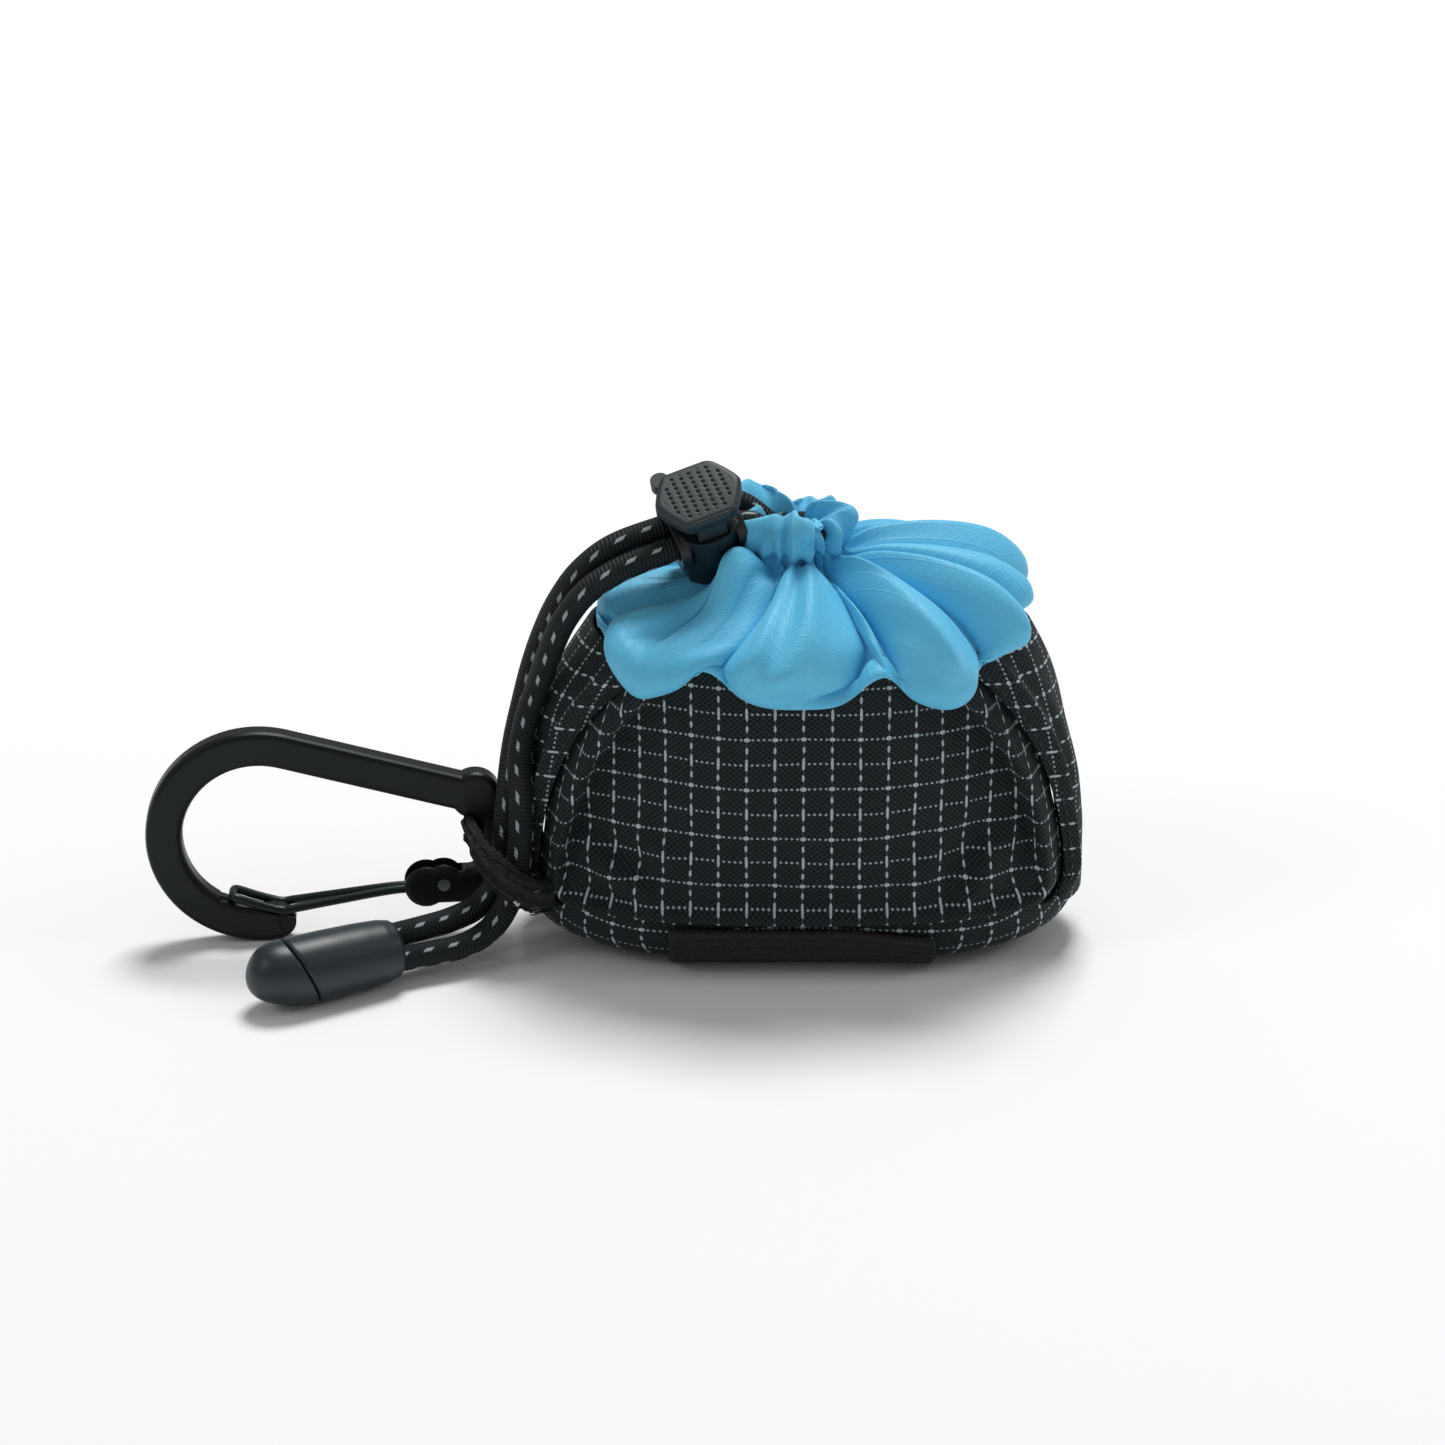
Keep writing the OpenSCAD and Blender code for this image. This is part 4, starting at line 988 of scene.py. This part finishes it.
spring_material, spring_tree, spring_shader = new_material("spring_wire")
drawn = node(spring_tree, "TexNoise", {"Scale": 900.0})
spring_rough = node(spring_tree, "MapRange", {0: drawn, 3: 0.25, 4: 0.4})
spring_tree.links.new(spring_rough.outputs[0], spring_shader.inputs["Roughness"])
spring_shader.inputs["Base Color"].default_value = linear_colour("#b9bcbe")
spring_shader.inputs["Metallic"].default_value = 1.0
SPRING_FOOT = -5.79
SPRING_RISE = 1.7
turn = np.linspace(0, 3, 109)
coil_r = 2.3 - 1.1 * turn / 3
coil = np.stack([coil_r * np.cos(2 * np.pi * turn), coil_r * np.sin(2 * np.pi * turn),
                 SPRING_FOOT + SPRING_RISE * turn / 3], axis=1)
lock_up = np.array(lock_point([0, 0, 1])) - lock_point([0, 0, 0])
coil_line = np.array([lock_point(p) for p in coil])
spring = tube_piece("lock_spring_coil", coil_line, 0.4, lock_up, spring_material, sides=8)
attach(spring, "cord_lock")
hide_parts("lock_spring")
# at full press the coil is drawn flatter than its own wire: the cup leaves 0.3 mm for it
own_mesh(spring)

# ---- cord end ----------------------------------------------------------------------
# A two-piece moulded cord end: a body with a flattened oval on top, and a domed cap
# that snaps on along a slanted joint. The strands are knotted inside it.

END_AT = np.array([-63.7, -20, 5.5])
END_TURN = np.radians(180 + 30.1)
END_R = 5.5
BODY_L = 16.4
CAP_L = 8.4
JOINT_SLANT = 0.42
FACET_AT = np.radians(78)
FACET_R = 4.55


def place_cord_end(local):
    """Turns points from the cord end's own axis (x from entry to dome) into the pouch's."""
    c, s = np.cos(END_TURN), np.sin(END_TURN)
    return local @ np.array([[c, -s, 0], [s, c, 0], [0, 0, 1]]).T + END_AT


def cord_end_shell(name, x, radius, slant, facet, material):
    """A round shell: radius at each x, flattened by a facet where the facet's plane cuts
    the circle, and slid along its axis in proportion to height for the slanted joint."""
    angle = np.linspace(0, 2 * np.pi, 120, endpoint=False)[None, :]
    toward = np.maximum(np.cos(angle + np.pi - FACET_AT), 0.2)
    flat = FACET_R / toward + 12 * (1 - facet[:, None])
    r = np.broadcast_to(radius[:, None], (len(x), 120))
    r = -np.log(np.exp(-6 * r) + np.exp(-6 * flat)) / 6
    up, front = r * np.sin(angle), r * np.cos(angle)
    local = np.stack([x[:, None] + slant[:, None] * up, front, up], axis=-1)
    uv = np.stack(np.broadcast_arrays(x[:, None], np.linspace(0, 34, 121)[None]), axis=-1)
    return grid_piece(name, place_cord_end(local), uv, material, around=True, ends=True)


end_plastic = moulded_plastic("cord_end_nylon", "#1a2529", 0.4, 0.22)
t = np.linspace(0, 1, 90)
body_x = BODY_L * t
body_r = np.interp(body_x, [0, 0.25, 0.7, 2.5, 6, 11, 15.6, 16.15, 16.4],
                   [3.4, 4.2, 4.6, 5.0, 5.25, 5.45, 5.5, 5.35, 5.1])
facet = smooth_step(body_x, 0.8, 4.5) * (1 - smooth_step(body_x, 11.5, 16.5))
body_slant = JOINT_SLANT * smooth_step(t, 0.3, 1.0)
end_body = cord_end_shell("cord_end_body_shell", body_x, body_r, body_slant, facet, end_plastic)
q = np.linspace(0, np.pi / 2, 60)
cap_x = np.concatenate([[BODY_L + 0.05, BODY_L + 0.1, BODY_L + 0.3], BODY_L + 0.3 + CAP_L * np.sin(q)])
cap_r = np.concatenate([[4.6, 4.9, 5.3], END_R * np.maximum(np.cos(q), 0.004) ** 0.92])
cap_slant = JOINT_SLANT * np.concatenate([[1, 1, 1], np.cos(q) ** 2])
end_cap = cord_end_shell("cord_end_cap_shell", cap_x, cap_r, cap_slant, np.zeros(len(cap_x)), end_plastic)
for piece, cad_name in ((end_body, "cord_end_body"), (end_cap, "cord_end_cap")):
    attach(piece, "pouch")
    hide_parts(cad_name)

# the two strands' overhand knot, inside the body
w = np.linspace(0, 2 * np.pi, 160, endpoint=False)
knot_line = np.stack([9.4 + 0.9 * np.cos(3 * w), 1.1 * np.sin(w) + 1.5 * np.sin(2 * w),
                      1.1 * np.cos(w) - 1.5 * np.cos(2 * w)], axis=1)
knot_line = place_cord_end(np.vstack([knot_line, knot_line[:1]]))
cord_knot = tube_piece("cord_knot_braid", knot_line, 1.9, [0.2, 0.3, 1], cord_material, sides=10)
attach(cord_knot, "pouch")
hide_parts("cord_knot")

# ---- carabiner ---------------------------------------------------------------------
# A flat pressed aluminium plate with tumbled edges, anodised black, with a bent spring
# wire gate that turns on a rivet through the ear's two cheeks.

TAB_AXIS = np.array([-48.6, -1, 0])
YAW = np.radians(5)
RIVET = np.array([-8.8, 8.9])
WIRE_D = 1.4
LEG_Y = 1.75
EYE_Y = 0.72


def place_carabiner(local):
    """Turns points from the plate's own axes into the pouch's."""
    c, s = np.cos(YAW), np.sin(YAW)
    return np.array(local) @ np.array([[c, -s, 0], [s, c, 0], [0, 0, 1]]).T + TAB_AXIS


def anodised_aluminium(name, colour, rough):
    """Black anodised, bead-blasted aluminium: a satin metal with a soft cloudy sheen
    and rounded edges."""
    material, tree, shader = new_material(name)
    place = node(tree, "TexCoord")
    edge = node(tree, "Bevel", {"Radius": 0.5 * MM}, samples=8)
    blast = node(tree, "TexNoise", {"Vector": place.outputs["Object"], "Scale": 3500.0, "Detail": 2.0})
    cloud = node(tree, "TexNoise", {"Vector": place.outputs["Object"], "Scale": 90.0, "Detail": 3.0})
    tone = node(tree, "MapRange", {0: cloud, 3: rough - 0.06, 4: rough + 0.08})
    bump = node(tree, "Bump", {"Height": blast, "Strength": 0.2, "Distance": 0.04 * MM,
                                         "Normal": edge})
    tree.links.new(bump.outputs[0], shader.inputs["Normal"])
    tree.links.new(tone.outputs[0], shader.inputs["Roughness"])
    shader.inputs["Base Color"].default_value = linear_colour(colour)
    shader.inputs["Metallic"].default_value = 0.6
    return material


dress("carabiner_body", anodised_aluminium("carabiner_anodised", "#12181a", 0.4))

# the gate: one wire, from an eye round the rivet, along a leg, round the nose and back
eye_turns = np.radians(np.arange(200, -101, -30))
eye = np.stack([RIVET[0] + 1.7 * np.cos(eye_turns), np.full(len(eye_turns), EYE_Y),
                RIVET[1] + 1.7 * np.sin(eye_turns)], axis=1).tolist()
leg = [[RIVET[0] - 3.4, EYE_Y, 7.85], [-17, EYE_Y + 0.05, 7.8], [-26, 1.3, 6.6],
       [-33, LEG_Y, 5.6], [-34.4, LEG_Y, 5.4],
       [-36, LEG_Y, 5.7], [-39, LEG_Y, 6.7], [-41.6, LEG_Y, 7.7], [-42.4, LEG_Y - 0.45, 7.9]]
half_gate = eye + leg
gate_route = half_gate + [[x, -y, z] for x, y, z in half_gate[::-1]]
gate_line, _ = smooth_route(place_carabiner(gate_route), 0.3)
gate_material = anodised_aluminium("gate_wire_black", "#22292b", 0.3)
gate = tube_piece("gate_wire_bent", gate_line, WIRE_D, [0.05, 0.1, 1], gate_material, sides=16)
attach(gate, "gate")
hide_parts("gate_wire")

rivet_material, rivet_tree, rivet_shader = new_material("rivet_steel")
spun = node(rivet_tree, "TexNoise", {"Scale": 1500.0})
rivet_rough = node(rivet_tree, "MapRange", {0: spun, 3: 0.2, 4: 0.35})
rivet_tree.links.new(rivet_rough.outputs[0], rivet_shader.inputs["Roughness"])
rivet_shader.inputs["Base Color"].default_value = linear_colour("#8f9597")
rivet_shader.inputs["Metallic"].default_value = 1.0
dress("gate_rivet", rivet_material)

# ---- studio ---------------------------------------------------------------------
# A pale seamless sweep under one large soft light overhead and a softer fill.

FLOOR_COLOUR = "#f4f4f4"
floor_mesh = bpy.data.meshes.new("floor")
floor_mesh.from_pydata([(-4, -4, 0), (4, -4, 0), (4, 4, 0), (-4, 4, 0)], [], [(0, 1, 2, 3)])
floor_material, _, floor_shader = new_material("floor_paper")
floor_shader.inputs["Base Color"].default_value = linear_colour(FLOOR_COLOUR)
floor_shader.inputs["Roughness"].default_value = 0.95
floor_shader.inputs["Specular IOR Level"].default_value = 0.1
floor_mesh.materials.append(floor_material)
floor = bpy.data.objects.new("floor", floor_mesh)
bpy.context.scene.collection.objects.link(floor)

world = bpy.data.worlds.new("studio")
world.use_nodes = True
world.node_tree.nodes["Background"].inputs["Color"].default_value = linear_colour("#fbfcff")
world.node_tree.nodes["Background"].inputs["Strength"].default_value = 0.32
bpy.context.scene.world = world
for name, place, size, power in (
        ("overhead_light", (0.2, 0.8, 2.1), 0.8, 39.0),
        ("left_light", (-1.6, -0.8, 1.4), 0.7, 4.0),
        ("right_light", (1.7, -0.1, 1.2), 0.6, 4.0)):
    data = bpy.data.lights.new(name, "AREA")
    data.size = size
    data.energy = power
    light = bpy.data.objects.new(name, data)
    light.location = place
    pitch = np.arctan2(np.hypot(place[0], place[1]), place[2])
    light.rotation_euler = (pitch, 0, np.arctan2(place[1], place[0]) + np.pi / 2)
    bpy.context.scene.collection.objects.link(light)
bpy.context.scene.view_settings.view_transform = "Standard"
